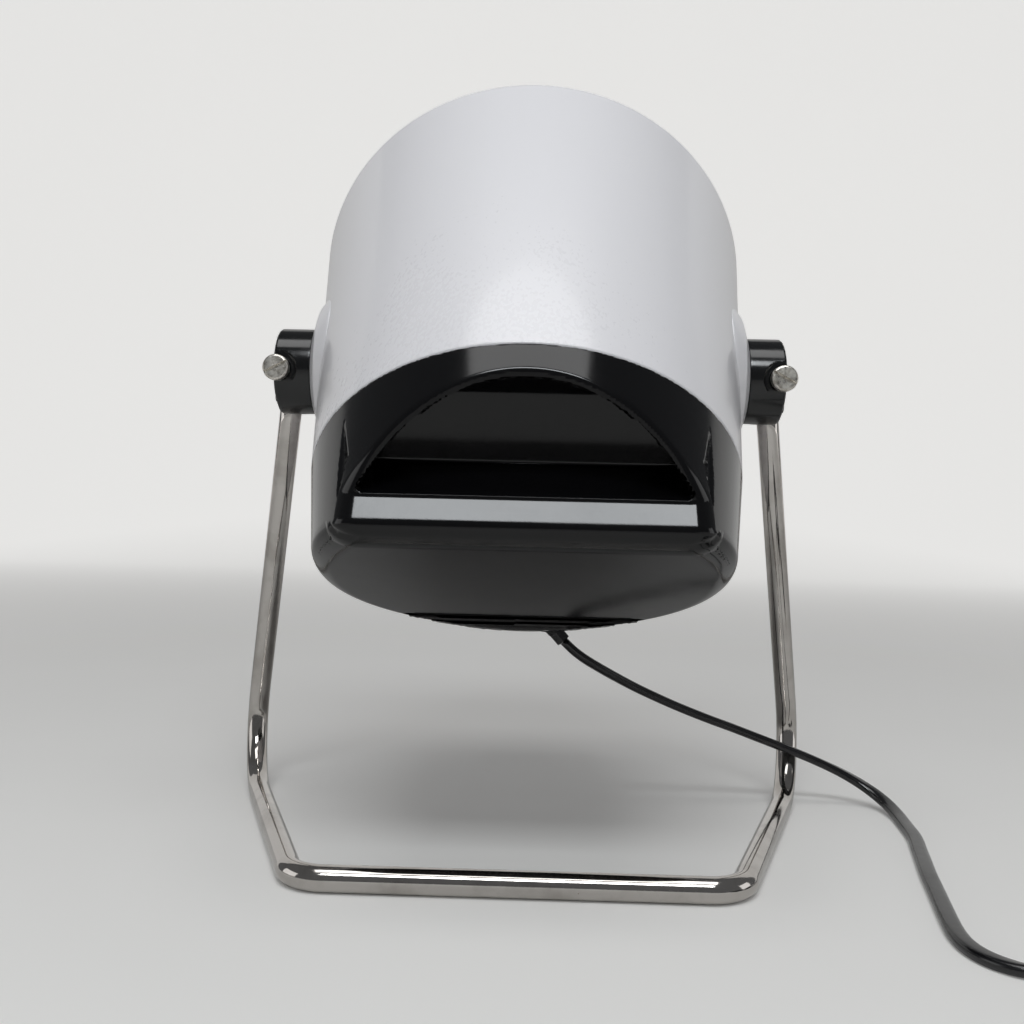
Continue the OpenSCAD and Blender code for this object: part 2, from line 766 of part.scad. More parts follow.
function cord_wide(i) =
    let (
        n = len(cord_route),
        v = cord_route[min(i + 1, n - 1)] - cord_route[max(i - 1, 0)],
        side = unit([v.y, -v.x, 0]),
        roll = 90 * smooth((i - roll_from) / roll_over)
    )
    side * cos(roll) + [0, 0, 1] * sin(roll);
stretch_length = total([for (i = [1:len(cord_route) - 1]) norm(cord_route[i] - cord_route[i - 1])]);
module cord_stretch() {
    color(black) swept(
        cord_route, [for (i = [0:len(cord_route) - 1]) cord_wide(i)], cord_w, cord_t, 8
    );
}

// ---- Put-away coil: spirals in below, climbs, and spirals out on top ----
coil_pitch = cord_t + 0.7;
layer_step = cord_w + 0.6;
coil_rings = 24;
coil_low_z = 3.35;
tail_run = 36;
tail_drop_from = 19;
plug_z = 6.85;
coil_first = cord_route[len(cord_route) - 1];
coil_mean = (cord_length - stretch_length - tail_run) / (360 * coil_turns * PI / 180);
coil_inner = coil_mean - coil_pitch * coil_turns / 4;
coil_outer = coil_mean + coil_pitch * coil_turns / 4;
coil_centre = [coil_first.x + coil_outer, coil_first.y];
function coil_radius(a) = coil_inner + coil_pitch * abs(a - 180 * coil_turns) / 360;
function coil_z(a) = coil_low_z + layer_step * smooth((a - 180 * coil_turns + 90) / 180);
function coil_point(a) = [
    coil_centre.x + coil_radius(a) * cos(180 + a),
    coil_centre.y + coil_radius(a) * sin(180 + a),
    coil_z(a)
];
coil_high_z = coil_low_z + layer_step;
tail_steps = [5.3, 12, 19, 24, 29, 31, 36];
coil_path = concat(
    [for (i = [0:coil_rings * coil_turns]) coil_point(360 * i / coil_rings)],
    [for (d = tail_steps) [
        coil_centre.x + coil_outer, coil_centre.y + d,
        coil_high_z - (coil_high_z - plug_z) * smooth((d - tail_drop_from) / 12)
    ]]
);
module cord_coil() {
    color(black) swept(coil_path, [for (p = coil_path) [0, 0, 1]], cord_w, cord_t, 6);
}

// Least gap between one ring of the coil and the rings a half turn or more away.
function oval_gap(p, q) =
    let (d = norm([p.x - q.x, p.y - q.y]), h = abs(p.z - q.z))
    norm([d, h]) - 1 / max(0.0001, norm([d / cord_t, h / cord_w]) / norm([d, h]));
coil_gap = min([
    for (i = [0:2:len(coil_path) - 13])
        min([for (j = [i + 12:len(coil_path) - 1]) oval_gap(coil_path[i], coil_path[j])])
]);
echo(stretch_length = stretch_length, coil_mean_d = 2 * coil_mean, coil_least_gap = coil_gap);

// ---- Tie round the coil ----
function rounded_box(w, h, r) = [
    for (c = [[1, 1, 0], [-1, 1, 90], [-1, -1, 180], [1, -1, 270]])
        for (a = [0:22.5:90])
            [c[0] * (w / 2 - r), c[1] * (h / 2 - r)] + r * [cos(c[2] + a), sin(c[2] + a)]
];
tie_thick = 0.5;
tie_width = 9;
module coil_tie() {
    inner_w = coil_outer - coil_inner + cord_t + 0.4;
    inner_h = layer_step + cord_w + 0.2;
    color([0.12, 0.12, 0.13])
        translate([coil_centre.x, coil_centre.y - (coil_outer + coil_inner) / 2,
            (coil_low_z + coil_high_z) / 2])
        rotate([90, 0, 90]) linear_extrude(tie_width, center = true) difference() {
            polygon(rounded_box(inner_w + 2 * tie_thick, inner_h + 2 * tie_thick, 2));
            polygon(rounded_box(inner_w, inner_h, 1.5));
        }
}

// ---- Two-pin plug, lying flat beside the coil, pins towards +y ----
plug_at = [coil_centre.x + coil_outer, coil_centre.y + tail_run, plug_z];
plug_thick = 13.7;
plug_outline = [
    [-7, 20], [-10.5, 30], [-13.2, 44], [-13.2, 55], [-12.4, 56], [12.4, 56], [13.2, 55],
    [13.2, 44], [10.5, 30], [7, 20]
];
pin_gap = 18.6;
pin_d = 4;
pin_len = 19;
plug_face = 56;
module plug_body() {
    color(black) translate(plug_at) difference() {
        union() {
            rotate([-90, 0, 0]) cylinder(h = 21, r1 = 3.4, r2 = 5.2);
            for (y = [3:4:19]) translate([0, y, 0]) rotate([-90, 0, 0])
                cylinder(h = 1.6, r = 3.9 + y * 0.09);
            translate([0, 0, -plug_thick / 2]) linear_extrude(plug_thick) polygon(plug_outline);
            for (x = [-pin_gap / 2, pin_gap / 2]) translate([x, plug_face, 0]) rotate([-90, 0, 0])
                cylinder(h = 10, d = pin_d - 0.2);
        }
        for (x = [-pin_gap / 2, pin_gap / 2]) translate([x, plug_face - 6, 0]) rotate([-90, 0, 0])
            cylinder(h = 20, d = pin_d - 1.6);
    }
}
module plug_pins() {
    color(brass) translate(plug_at) for (x = [-pin_gap / 2, pin_gap / 2])
        translate([x, plug_face, 0]) rotate([-90, 0, 0]) {
            translate([0, 0, -6]) cylinder(h = 17, d = pin_d - 1.62);
            translate([0, 0, 10]) cylinder(h = pin_len - 10.6, d = pin_d);
            translate([0, 0, pin_len - 0.6]) cylinder(h = 0.6, d1 = pin_d, d2 = pin_d - 1.2);
        }
}

shell();
rear_cover();
cover_screws();
mounting_plate();
plate_screws();
lampholder_body();
lampholder_screws();
lampholder_thread();
lampholder_contact();
terminals();
terminal_screws();
lead_live();
lead_neutral();
cord_clamp();
cord_clamp_screws();
cord_grommet();
cord_tail();
bulb_reflector();
bulb_lens();
bulb_cap();
bulb_insulator();
bulb_contact();
bulb_stem();
bulb_filament();
mirror([1, 0, 0]) pivot_bush();  // pivot_bush_left
pivot_bush();  // pivot_bush_right
mirror([1, 0, 0]) spring_washer();  // spring_washer_left
spring_washer();  // spring_washer_right
stand_rod();
mirror([1, 0, 0]) pivot_block();  // pivot_block_left
pivot_block();  // pivot_block_right
mirror([1, 0, 0]) pivot_stud();  // pivot_stud_left
pivot_stud();  // pivot_stud_right
mirror([1, 0, 0]) pivot_nut();  // pivot_nut_left
pivot_nut();  // pivot_nut_right
mirror([1, 0, 0]) clamp_screw();  // clamp_screw_left
clamp_screw();  // clamp_screw_right
mirror([1, 0, 0]) clamp_nut();  // clamp_nut_left
clamp_nut();  // clamp_nut_right
cord_stretch();
cord_coil();
coil_tie();
plug_body();
plug_pins();
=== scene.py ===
"""Infrared heat lamp: a tilting white and black head on a bent chrome rod, with its flat black cord.

The lamp's lengths are in millimetres and turned into metres where a mesh is made; those of
the backdrop, the softboxes and the finishes are in metres.
The head frame is x across, s along the beam and t upward at right angles to it.
"""

import json
import math

import bmesh
import bpy
import numpy as np
from mathutils import Matrix, Vector


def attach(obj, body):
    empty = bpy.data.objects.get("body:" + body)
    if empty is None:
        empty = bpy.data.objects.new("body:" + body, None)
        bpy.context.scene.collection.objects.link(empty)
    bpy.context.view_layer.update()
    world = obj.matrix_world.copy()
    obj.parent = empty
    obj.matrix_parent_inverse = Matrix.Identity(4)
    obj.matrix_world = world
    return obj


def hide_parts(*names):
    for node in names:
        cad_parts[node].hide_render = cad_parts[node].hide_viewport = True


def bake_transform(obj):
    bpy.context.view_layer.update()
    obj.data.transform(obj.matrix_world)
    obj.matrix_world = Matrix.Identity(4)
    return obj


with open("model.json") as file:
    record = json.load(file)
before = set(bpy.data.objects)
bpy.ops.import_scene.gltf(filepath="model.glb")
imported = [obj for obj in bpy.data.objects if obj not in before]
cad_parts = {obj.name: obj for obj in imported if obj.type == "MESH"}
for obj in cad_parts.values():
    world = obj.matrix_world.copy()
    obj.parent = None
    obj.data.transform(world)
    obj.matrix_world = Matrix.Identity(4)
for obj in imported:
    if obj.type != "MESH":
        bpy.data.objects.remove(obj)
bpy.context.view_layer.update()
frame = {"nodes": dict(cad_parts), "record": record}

MM = 0.001
PIVOT = np.array([0.0, 7.4, 163.4])
TILT = math.radians(45)
HEAD_AXES = np.array([
    [1, 0, 0],
    [0, math.cos(TILT), math.sin(TILT)],
    [0, -math.sin(TILT), math.cos(TILT)],
])


def from_head(points):
    """Points of the head frame (x, s, t) in the row frame, in millimetres."""
    return PIVOT + np.asarray(points, float) @ HEAD_AXES


def to_head(points):
    return (np.asarray(points, float) - PIVOT) @ HEAD_AXES.T


def unit(v):
    v = np.asarray(v, float)
    return v / np.linalg.norm(v, axis=-1, keepdims=True)


# ---- Camera ----
CAMERA_AT = (1.782, -378.179, 110.038)
CAMERA_RIGHT = (0.99953, 0.01762, 0.02494)
CAMERA_UP = (-0.02477, -0.00968, 0.99965)
FOCAL_PIXELS, FRAME_PIXELS, SENSOR = 1050, 1024, 36


def make_camera():
    data = bpy.data.cameras.new("photo_camera")
    data.sensor_width = SENSOR
    data.lens = SENSOR * FOCAL_PIXELS / FRAME_PIXELS
    data.clip_start, data.clip_end = 0.01, 30
    camera = bpy.data.objects.new("photo_camera", data)
    right, up = Vector(CAMERA_RIGHT).normalized(), Vector(CAMERA_UP)
    back = right.cross(up).normalized()
    up = back.cross(right)
    turn = Matrix((right, up, back)).transposed().to_4x4()
    camera.matrix_world = Matrix.Translation(Vector(CAMERA_AT) * MM) @ turn
    bpy.context.scene.collection.objects.link(camera)
    bpy.context.scene.camera = camera


make_camera()

# ---- Shader node groups ----


def new_group(name, inputs, outputs):
    """An empty node group. inputs are (name, default), outputs are (name, socket type)."""
    group = bpy.data.node_groups.new(name, "ShaderNodeTree")
    for label, default in inputs:
        kind = "NodeSocketFloat" if isinstance(default, (int, float)) else "NodeSocketColor"
        socket = group.interface.new_socket(label, in_out="INPUT", socket_type=kind)
        socket.default_value = default
    for label, kind in outputs:
        group.interface.new_socket(label, in_out="OUTPUT", socket_type=kind)
    return group, group.nodes.new("NodeGroupInput"), group.nodes.new("NodeGroupOutput")


class Wires:
    """Short calls that add a node to a tree and join its sockets."""

    def __init__(self, tree):
        self.tree = tree
        self.place = None

    def add(self, kind, **settings):
        node = self.tree.nodes.new(kind)
        for key, value in settings.items():
            setattr(node, key, value)
        return node

    def join(self, source, target):
        if isinstance(source, (int, float, tuple)):
            target.default_value = source
        else:
            self.tree.links.new(source, target)

    def where(self):
        """Object coordinates, which are metres in the row frame."""
        if self.place is None:
            self.place = self.add("ShaderNodeTexCoord").outputs["Object"]
        return self.place

    def stretched(self, scale):
        node = self.add("ShaderNodeMapping")
        self.join(self.where(), node.inputs["Vector"])
        node.inputs["Scale"].default_value = scale
        return node.outputs["Vector"]

    def noise(self, scale, detail, rough, vector=None):
        node = self.add("ShaderNodeTexNoise")
        self.join(vector or self.where(), node.inputs["Vector"])
        self.join(scale, node.inputs["Scale"])
        node.inputs["Detail"].default_value = detail
        node.inputs["Roughness"].default_value = rough
        return node.outputs["Fac"]

    def cells(self, scale):
        node = self.add("ShaderNodeTexVoronoi")
        self.join(self.where(), node.inputs["Vector"])
        self.join(scale, node.inputs["Scale"])
        return node.outputs["Distance"]

    def sums(self, operation, a, b=0.0):
        node = self.add("ShaderNodeMath", operation=operation)
        self.join(a, node.inputs[0])
        self.join(b, node.inputs[1])
        return node.outputs[0]

    def spread(self, value, low, high, to_low=0.0, to_high=1.0):
        """Value from low to high taken to the range to_low to to_high, clamped."""
        node = self.add("ShaderNodeMapRange")
        for socket, what in zip(node.inputs, (value, low, high, to_low, to_high)):
            self.join(what, socket)
        return node.outputs[0]

    def blend(self, mask, a, b):
        node = self.add("ShaderNodeMix", data_type="RGBA")
        self.join(mask, node.inputs["Factor"])
        self.join(a, node.inputs["A"])
        self.join(b, node.inputs["B"])
        return node.outputs["Result"]

    def bump(self, height, strength, distance):
        node = self.add("ShaderNodeBump")
        self.join(height, node.inputs["Height"])
        self.join(strength, node.inputs["Strength"])
        self.join(distance, node.inputs["Distance"])
        return node.outputs["Normal"]


def smudge_group():
    """Handling marks: a slow cloudy change of gloss with fine streaks in it."""
    group, given, out = new_group(
        "handling_smudges", [("Low", 0.1), ("High", 0.2), ("Scale", 30.0)],
        [("Roughness", "NodeSocketFloat")])
    streak_scale, cloud_share, streak_share = 900.0, 0.75, 0.25
    w = Wires(group)
    cloud = w.noise(given.outputs["Scale"], 4, 0.6)
    streak = w.noise(streak_scale, 2, 0.6, w.stretched((1, 1, 0.12)))
    mask = w.sums("ADD", w.sums("MULTIPLY", cloud, cloud_share), w.sums("MULTIPLY", streak, streak_share))
    value = w.spread(mask, 0.35, 0.65, given.outputs["Low"], given.outputs["High"])
    w.join(value, out.inputs["Roughness"])
    return group


def specks_group():
    """Dust: sparse small specks. A larger Amount leaves specks in more places."""
    group, given, out = new_group(
        "dust_specks", [("Scale", 400.0), ("Amount", 0.2)], [("Mask", "NodeSocketFloat")])
    w = Wires(group)
    from_middle = w.cells(given.outputs["Scale"])
    chance = w.noise(w.sums("MULTIPLY", given.outputs["Scale"], 0.5), 1, 0.5)
    dot = w.spread(from_middle, 0.10, 0.16, 1.0, 0.0)
    kept = w.sums("GREATER_THAN", chance, w.sums("SUBTRACT", 0.85, given.outputs["Amount"]))
    w.join(w.sums("MULTIPLY", dot, kept), out.inputs["Mask"])
    return group


def skin_group():
    """Moulded or plated skin: a faint ripple of the surface as a normal."""
    group, given, out = new_group(
        "moulded_skin", [("Scale", 300.0), ("Depth", 0.00002), ("Strength", 0.2)],
        [("Normal", "NodeSocketVector")])
    finer_by, fine_share = 6, 0.15
    w = Wires(group)
    slow = w.noise(given.outputs["Scale"], 3, 0.5)
    fine = w.noise(w.sums("MULTIPLY", given.outputs["Scale"], finer_by), 2, 0.5)
    height = w.sums("ADD", slow, w.sums("MULTIPLY", fine, fine_share))
    w.join(w.bump(height, given.outputs["Strength"], given.outputs["Depth"]), out.inputs["Normal"])
    return group


def wear_group():
    """Edge wear: a mask that is 1 on convex edges, broken up by grain."""
    group, given, out = new_group(
        "edge_wear", [("From", 0.52), ("To", 0.6), ("Grain", 500.0)], [("Mask", "NodeSocketFloat")])
    w = Wires(group)
    point = w.add("ShaderNodeNewGeometry").outputs["Pointiness"]
    grain = w.noise(given.outputs["Grain"], 5, 0.7)
    edge = w.spread(point, given.outputs["From"], given.outputs["To"])
    broken = w.sums("MULTIPLY", edge, w.spread(grain, 0.4, 0.6))
    w.join(broken, out.inputs["Mask"])
    return group


def scratch_group():
    """Fine scratches: thin lines in two directions, as a mask."""
    group, given, out = new_group(
        "fine_scratches", [("Scale", 60.0), ("Amount", 0.3)], [("Mask", "NodeSocketFloat")])
    finer_by, half_line = 8, 0.006
    w = Wires(group)
    lines = []
    for stretch in ((1.0, 0.05, 0.3), (0.06, 1.0, 0.25)):
        noise = w.noise(w.sums("MULTIPLY", given.outputs["Scale"], finer_by), 3, 0.6, w.stretched(stretch))
        off_line = w.sums("ABSOLUTE", w.sums("SUBTRACT", noise, 0.5))
        lines.append(w.spread(off_line, 0.0, half_line, 1.0, 0.0))
    where = w.noise(given.outputs["Scale"], 2, 0.5)
    kept = w.sums("GREATER_THAN", where, w.sums("SUBTRACT", 0.75, given.outputs["Amount"]))
    both = w.sums("MAXIMUM", lines[0], lines[1])
    w.join(w.sums("MULTIPLY", both, kept), out.inputs["Mask"])
    return group


SMUDGES, SPECKS, SKIN, WEAR, SCRATCHES = (
    smudge_group(), specks_group(), skin_group(), wear_group(), scratch_group())


class Finish(Wires):
    """A material with a Principled shader and short calls for this lamp's shared effects."""

    def __init__(self, name, colour, roughness, metallic=0.0, **sockets):
        self.name = name
        self.material = bpy.data.materials.new(name)
        self.material.use_nodes = True
        super().__init__(self.material.node_tree)
        self.shader = self.tree.nodes["Principled BSDF"]
        self.colour = (*colour, 1)
        self.set("Base Color", self.colour)
        self.set("Roughness", roughness)
        self.set("Metallic", metallic)
        for label, value in sockets.items():
            self.set(label.replace("_", " "), value)
        self.material.diffuse_color = self.colour

    def set(self, label, source):
        self.join(source, self.shader.inputs[label])

    def effect(self, group, output, **values):
        node = self.add("ShaderNodeGroup", node_tree=group)
        for label, value in values.items():
            self.join(value, node.inputs[label])
        return node.outputs[output]

    def smudged(self, low, high, scale=30.0):
        self.set("Roughness", self.effect(SMUDGES, "Roughness", Low=low, High=high, Scale=scale))
        return self

    def rippled(self, scale, depth, strength=1.0):
        self.set("Normal", self.effect(SKIN, "Normal", Scale=scale, Depth=depth, Strength=strength))
        return self

    def marked(self, mask, colour):
        """Paints a mask over the base colour."""
        socket = self.shader.inputs["Base Color"]
        under = socket.links[0].from_socket if socket.is_linked else tuple(socket.default_value)
        self.set("Base Color", self.blend(mask, under, (*colour, 1)))
        return self

    def cloudy(self, colour, scale, low=0.4, high=0.6):
        return self.marked(self.spread(self.noise(scale, 4, 0.6), low, high), colour)

    def dusty(self, scale, amount, colour=(0.5, 0.48, 0.45)):
        return self.marked(self.effect(SPECKS, "Mask", Scale=scale, Amount=amount), colour)

    def worn(self, start, end, colour):
        return self.marked(self.effect(WEAR, "Mask", From=start, To=end), colour)

    def scratched(self, scale, amount, colour):
        return self.marked(self.effect(SCRATCHES, "Mask", Scale=scale, Amount=amount), colour)


# ---- Finishes ----
def insulation(name, colour, shade):
    return Finish(name, colour, 0.4).cloudy(shade, 300.0).rippled(500.0, 0.00003)


FINISHES = {finish.name: finish for finish in (
    Finish("white_plastic", (0.80, 0.79, 0.81), 0.27, Coat_Weight=0.3, Coat_Roughness=0.06)
    .smudged(0.27, 0.29, 4.0),
    Finish("black_gloss_plastic", (0.0025, 0.0025, 0.003), 0.12, Specular_IOR_Level=0.4)
    .dusty(520.0, 0.05, (0.05, 0.047, 0.044)).scratched(30.0, 0.1, (0.008, 0.008, 0.009))
    .smudged(0.1, 0.17).rippled(60.0, 0.00005, 0.6),
    Finish("black_block_plastic", (0.004, 0.0043, 0.0047), 0.16, Specular_IOR_Level=0.6)
    .dusty(600.0, 0.12, (0.06, 0.058, 0.053)).worn(0.55, 0.66, (0.02, 0.02, 0.021))
    .smudged(0.12, 0.2, 120.0).rippled(400.0, 0.00002, 0.6),
    Finish("chrome", (0.62, 0.59, 0.56), 0.08, 1.0)
    .cloudy((0.5, 0.47, 0.44), 60.0, 0.45, 0.62).dusty(700.0, 0.12, (0.2, 0.15, 0.1))
    .smudged(0.05, 0.14, 50.0).rippled(150.0, 0.00003, 0.5),
    Finish("zinc_steel", (0.56, 0.56, 0.55), 0.3, 1.0)
    .cloudy((0.42, 0.41, 0.39), 300.0).smudged(0.22, 0.4, 200.0).rippled(900.0, 0.00002),
    Finish("worn_nickel", (0.78, 0.75, 0.69), 0.35, 1.0)
    .cloudy((0.45, 0.42, 0.37), 420.0, 0.46, 0.62).scratched(300.0, 0.4, (0.88, 0.86, 0.8))
    .smudged(0.24, 0.5, 350.0).rippled(900.0, 0.00008),
    Finish("aluminium_sheet", (0.7, 0.7, 0.71), 0.3, 1.0)
    .scratched(80.0, 0.4, (0.55, 0.55, 0.56)).smudged(0.25, 0.4).rippled(500.0, 0.00002),
    Finish("ceramic", (0.75, 0.73, 0.68), 0.25, Coat_Weight=0.4, Coat_Roughness=0.1)
    .cloudy((0.66, 0.63, 0.57), 120.0).dusty(700.0, 0.2, (0.3, 0.27, 0.22)).rippled(600.0, 0.00003),
    Finish("brass", (0.72, 0.5, 0.2), 0.28, 1.0)
    .cloudy((0.5, 0.34, 0.14), 260.0).smudged(0.2, 0.38, 200.0).rippled(700.0, 0.00002),
    Finish("cap_metal", (0.7, 0.68, 0.62), 0.3, 1.0)
    .cloudy((0.5, 0.47, 0.4), 200.0).smudged(0.22, 0.4, 200.0).rippled(700.0, 0.00002),
    Finish("mirror_glass", (0.82, 0.83, 0.84), 0.08, 1.0, Coat_Weight=1.0, Coat_Roughness=0.03)
    .smudged(0.06, 0.16, 40.0).rippled(90.0, 0.0001, 0.7),
    Finish("ruby_glass", (0.42, 0.006, 0.008), 0.12, Transmission_Weight=0.75, IOR=1.5,
           Coat_Weight=0.6, Coat_Roughness=0.04)
    .cloudy((0.33, 0.004, 0.006), 40.0).dusty(500.0, 0.1, (0.3, 0.12, 0.1)).rippled(220.0, 0.0001, 0.8),
    Finish("clear_glass", (0.92, 0.95, 0.95), 0.05, Transmission_Weight=0.95, IOR=1.5)
    .rippled(200.0, 0.00005),
    Finish("black_glass", (0.01, 0.01, 0.012), 0.15).dusty(900.0, 0.2).rippled(300.0, 0.00003),
    Finish("filament_wire", (0.3, 0.3, 0.31), 0.45, 1.0).rippled(3000.0, 0.0001),
    insulation("brown_insulation", (0.12, 0.045, 0.02), (0.09, 0.03, 0.015)),
    insulation("blue_insulation", (0.02, 0.08, 0.35), (0.015, 0.06, 0.27)),
    Finish("clamp_plastic", (0.6, 0.58, 0.52), 0.4).cloudy((0.5, 0.47, 0.4), 200.0)
    .rippled(500.0, 0.00003),
    Finish("black_rubber", (0.012, 0.012, 0.012), 0.5)
    .dusty(800.0, 0.2, (0.08, 0.075, 0.07)).smudged(0.4, 0.6, 150.0).rippled(900.0, 0.00005),
    Finish("cord_sheath", (0.006, 0.006, 0.007), 0.2, Specular_IOR_Level=0.7)
    .dusty(700.0, 0.08, (0.05, 0.05, 0.047)).smudged(0.14, 0.26, 90.0).rippled(260.0, 0.00008, 0.6),
    Finish("tie_plastic", (0.02, 0.02, 0.022), 0.45)
    .smudged(0.35, 0.5, 200.0).rippled(1200.0, 0.00005),
    Finish("plug_plastic", (0.01, 0.01, 0.011), 0.35, Specular_IOR_Level=0.55)
    .dusty(700.0, 0.2, (0.09, 0.085, 0.08)).smudged(0.28, 0.45, 120.0).rippled(1300.0, 0.00004),
)}
for part in frame["record"]["subparts"]:
    node = frame["nodes"][part["node"]]
    node.data.materials.clear()
    node.data.materials.append(FINISHES[part["material_slot"]].material)


# ---- Making meshes ----
class Build:
    """Gathers vertices and faces, in millimetres, for one piece."""

    def __init__(self):
        self.points, self.faces, self.count = [], [], 0

    def add(self, points, faces):
        points = np.asarray(points, float).reshape(-1, 3)
        self.faces += [[i + self.count for i in face] for face in faces]
        self.points.append(points)
        self.count += len(points)
        return self

    def grid(self, rows, close_rows=False, close_columns=False):
        """A sheet of faces over an array of points (rows, columns, 3)."""
        rows = np.asarray(rows, float)
        n, m = rows.shape[:2]
        faces = []
        for i in range(n if close_rows else n - 1):
            for j in range(m if close_columns else m - 1):
                a, b = (i + 1) % n, (j + 1) % m
                faces.append([i * m + j, a * m + j, a * m + b, i * m + b])
        return self.add(rows.reshape(-1, 3), faces)

    def caps(self, rows):
        """Closes the two ends of a tube of rows with fans."""
        for row in (rows[0], rows[-1]):
            n = len(row)
            self.add(np.vstack([row, row.mean(0)]), [[k, (k + 1) % n, n] for k in range(n)])
        return self

    def piece(self, name, finish, body, replaced=(), weighted=True):
        mesh = bpy.data.meshes.new(name)
        mesh.from_pydata((np.vstack(self.points) * MM).tolist(), [], self.faces)
        work = bmesh.new()
        work.from_mesh(mesh)
        bmesh.ops.remove_doubles(work, verts=work.verts, dist=1e-7)
        bmesh.ops.dissolve_degenerate(work, edges=work.edges, dist=1e-8)
        bmesh.ops.recalc_face_normals(work, faces=work.faces)
        work.to_mesh(mesh)
        work.free()
        return settle_piece(mesh, name, finish, body, replaced, weighted)


def settle_piece(mesh, name, finish, body, replaced=(), weighted=False):
    mesh.shade_smooth()
    mesh.materials.append(FINISHES[finish].material)
    piece = bpy.data.objects.new(name, mesh)
    bpy.context.scene.collection.objects.link(piece)
    if weighted:
        even = piece.modifiers.new("even_shading", "WEIGHTED_NORMAL")
        even.keep_sharp = False
        even.weight = 80
    if body:
        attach(piece, body)
    if replaced:
        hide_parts(*replaced)
    return piece


def corner_arc(before, p, after, r, weights):
    """The corner p of a polyline rounded by r, at weights from 0 to 1 along the arc."""
    if r == 0:
        return [p]
    a, b = unit(before - p), unit(after - p)
    half = math.acos(a @ b) / 2
    centre = p + unit(a + b) * r / math.sin(half)
    first, last = p + a * r / math.tan(half) - centre, p + b * r / math.tan(half) - centre
    turn = math.pi - 2 * half
    return [centre + (math.sin((1 - w) * turn) * first + math.sin(w * turn) * last) / math.sin(turn)
            for w in weights]


def rounded(points, radii, steps=6):
    """A closed polyline in a plane with its corners rounded. A radius of 0 keeps a corner."""
    points = [np.array(p, float) for p in points]
    weights = [k / steps for k in range(steps + 1)]
    out = []
    for i, (p, r) in enumerate(zip(points, radii)):
        out += corner_arc(points[i - 1], p, points[(i + 1) % len(points)], r, weights)
    return np.array(out)


def finer(points, longest, closed=True):
    """A polyline with long runs divided, so that no step is longer than asked."""
    out, n = [], len(points)
    for i in range(n if closed else n - 1):
        a, b = points[i], points[(i + 1) % n]
        parts = max(1, int(np.linalg.norm(b - a) / longest))
        out += [a + (b - a) * k / parts for k in range(parts)]
    if not closed:
        out.append(points[-1])
    return np.array(out)


def turned(build, profile, origin, axis, side, segments):
    """Turns a profile of (radius, along) about an axis through origin."""
    axis, side = unit(axis), unit(side)
    other = np.cross(axis, side)
    angles = 2 * math.pi * np.arange(segments) / segments
    ring = np.cos(angles)[:, None] * side + np.sin(angles)[:, None] * other
    profile = np.asarray(profile, float)
    rows = origin + ring[:, None, :] * profile[None, :, :1] + axis * profile[None, :, 1:]
    return build.grid(rows, close_rows=True, close_columns=True)


def smooth_path(points, parts):
    """A smooth curve through the points, with parts steps between each two."""
    p = np.asarray(points, float)
    p = np.vstack([2 * p[0] - p[1], p, 2 * p[-1] - p[-2]])
    out = []
    for i in range(1, len(p) - 2):
        a, b, c, d = p[i - 1:i + 3]
        for k in range(parts):
            w = k / parts
            out.append(0.5 * (2 * b + (c - a) * w + (2 * a - 5 * b + 4 * c - d) * w ** 2
                              + (3 * b - a - 3 * c + d) * w ** 3))
    out.append(p[-2])
    return np.array(out)


def swept(build, path, wides, section):
    """Carries a closed section of (long, thin) along a path. The long axis follows wides."""
    path, section = np.asarray(path, float), np.asarray(section, float)
    tangents = unit(np.gradient(path, axis=0))
    thin = unit(np.cross(tangents, wides))
    long = np.cross(thin, tangents)
    rows = [p + section[:, :1] * long[i] + section[:, 1:] * thin[i] for i, p in enumerate(path)]
    return build.grid(rows, close_columns=True).caps(rows)


def oval(width, thick, steps=10):
    """A flat cord's section: two round edges and two flat faces."""
    flat = (width - thick) / 2
    out = []
    for side in (1, -1):
        for k in range(steps + 1):
            a = math.pi * (k / steps - 0.5) + (0 if side > 0 else math.pi)
            out.append((side * flat + thick / 2 * math.cos(a), thick / 2 * math.sin(a)))
    return np.array(out)


# ---- Free cord ----
CORD_W, CORD_T, CORD_LENGTH = 5.3, 3.3, 1800.0
CORD_ROUTE = [
    (15.3, 14.2, 66), (19.5, 14.6, 62.2), (24, 15.6, 59), (30, 17.8, 55.4), (36, 20.4, 52),
    (43.5, 23.4, 48), (51, 26, 44.4), (58.5, 28.6, 41), (66.2, 31, 37.8), (74, 33.4, 34.7),
    (82, 36, 31.7), (90, 38.2, 28.6), (98.3, 40, 25.4), (106.5, 42, 22.2),
    (114.5, 43.8, 19), (122, 45, 15.8), (129, 45.2, 12.6), (135.5, 43.6, 9.2),
    (140.6, 39.8, 6), (143.4, 33.4, 3.6), (144, 25.4, 2.2), (143.2, 16.4, 1.7),
    (140.5, -2.6, 1.7), (137, -16.6, 1.7), (134, -28.6, 1.7), (130.4, -42.6, 1.7),
    (127, -57.6, 1.7), (124, -70.6, 1.7), (121.3, -82.6, 1.7), (119.6, -91.6, 1.7),
    (119.2, -100.1, 1.7), (121.2, -107.6, 1.7), (126, -113.2, 1.7), (132.6, -116.2, 1.8),
    (139, -119.2, 2.2), (143.6, -123.6, 2.9), (146, -129, 3.35), (146.5, -133.6, 3.35),
]
# The cord turns from lying flat to standing on edge over these points of its route.
ROLL_FROM, ROLL_OVER = 31, 5
COIL_TURNS, COIL_PITCH, LAYER_STEP, COIL_LOW = 7.5, CORD_T + 0.7, CORD_W + 0.6, 3.35
COIL_HIGH = COIL_LOW + LAYER_STEP
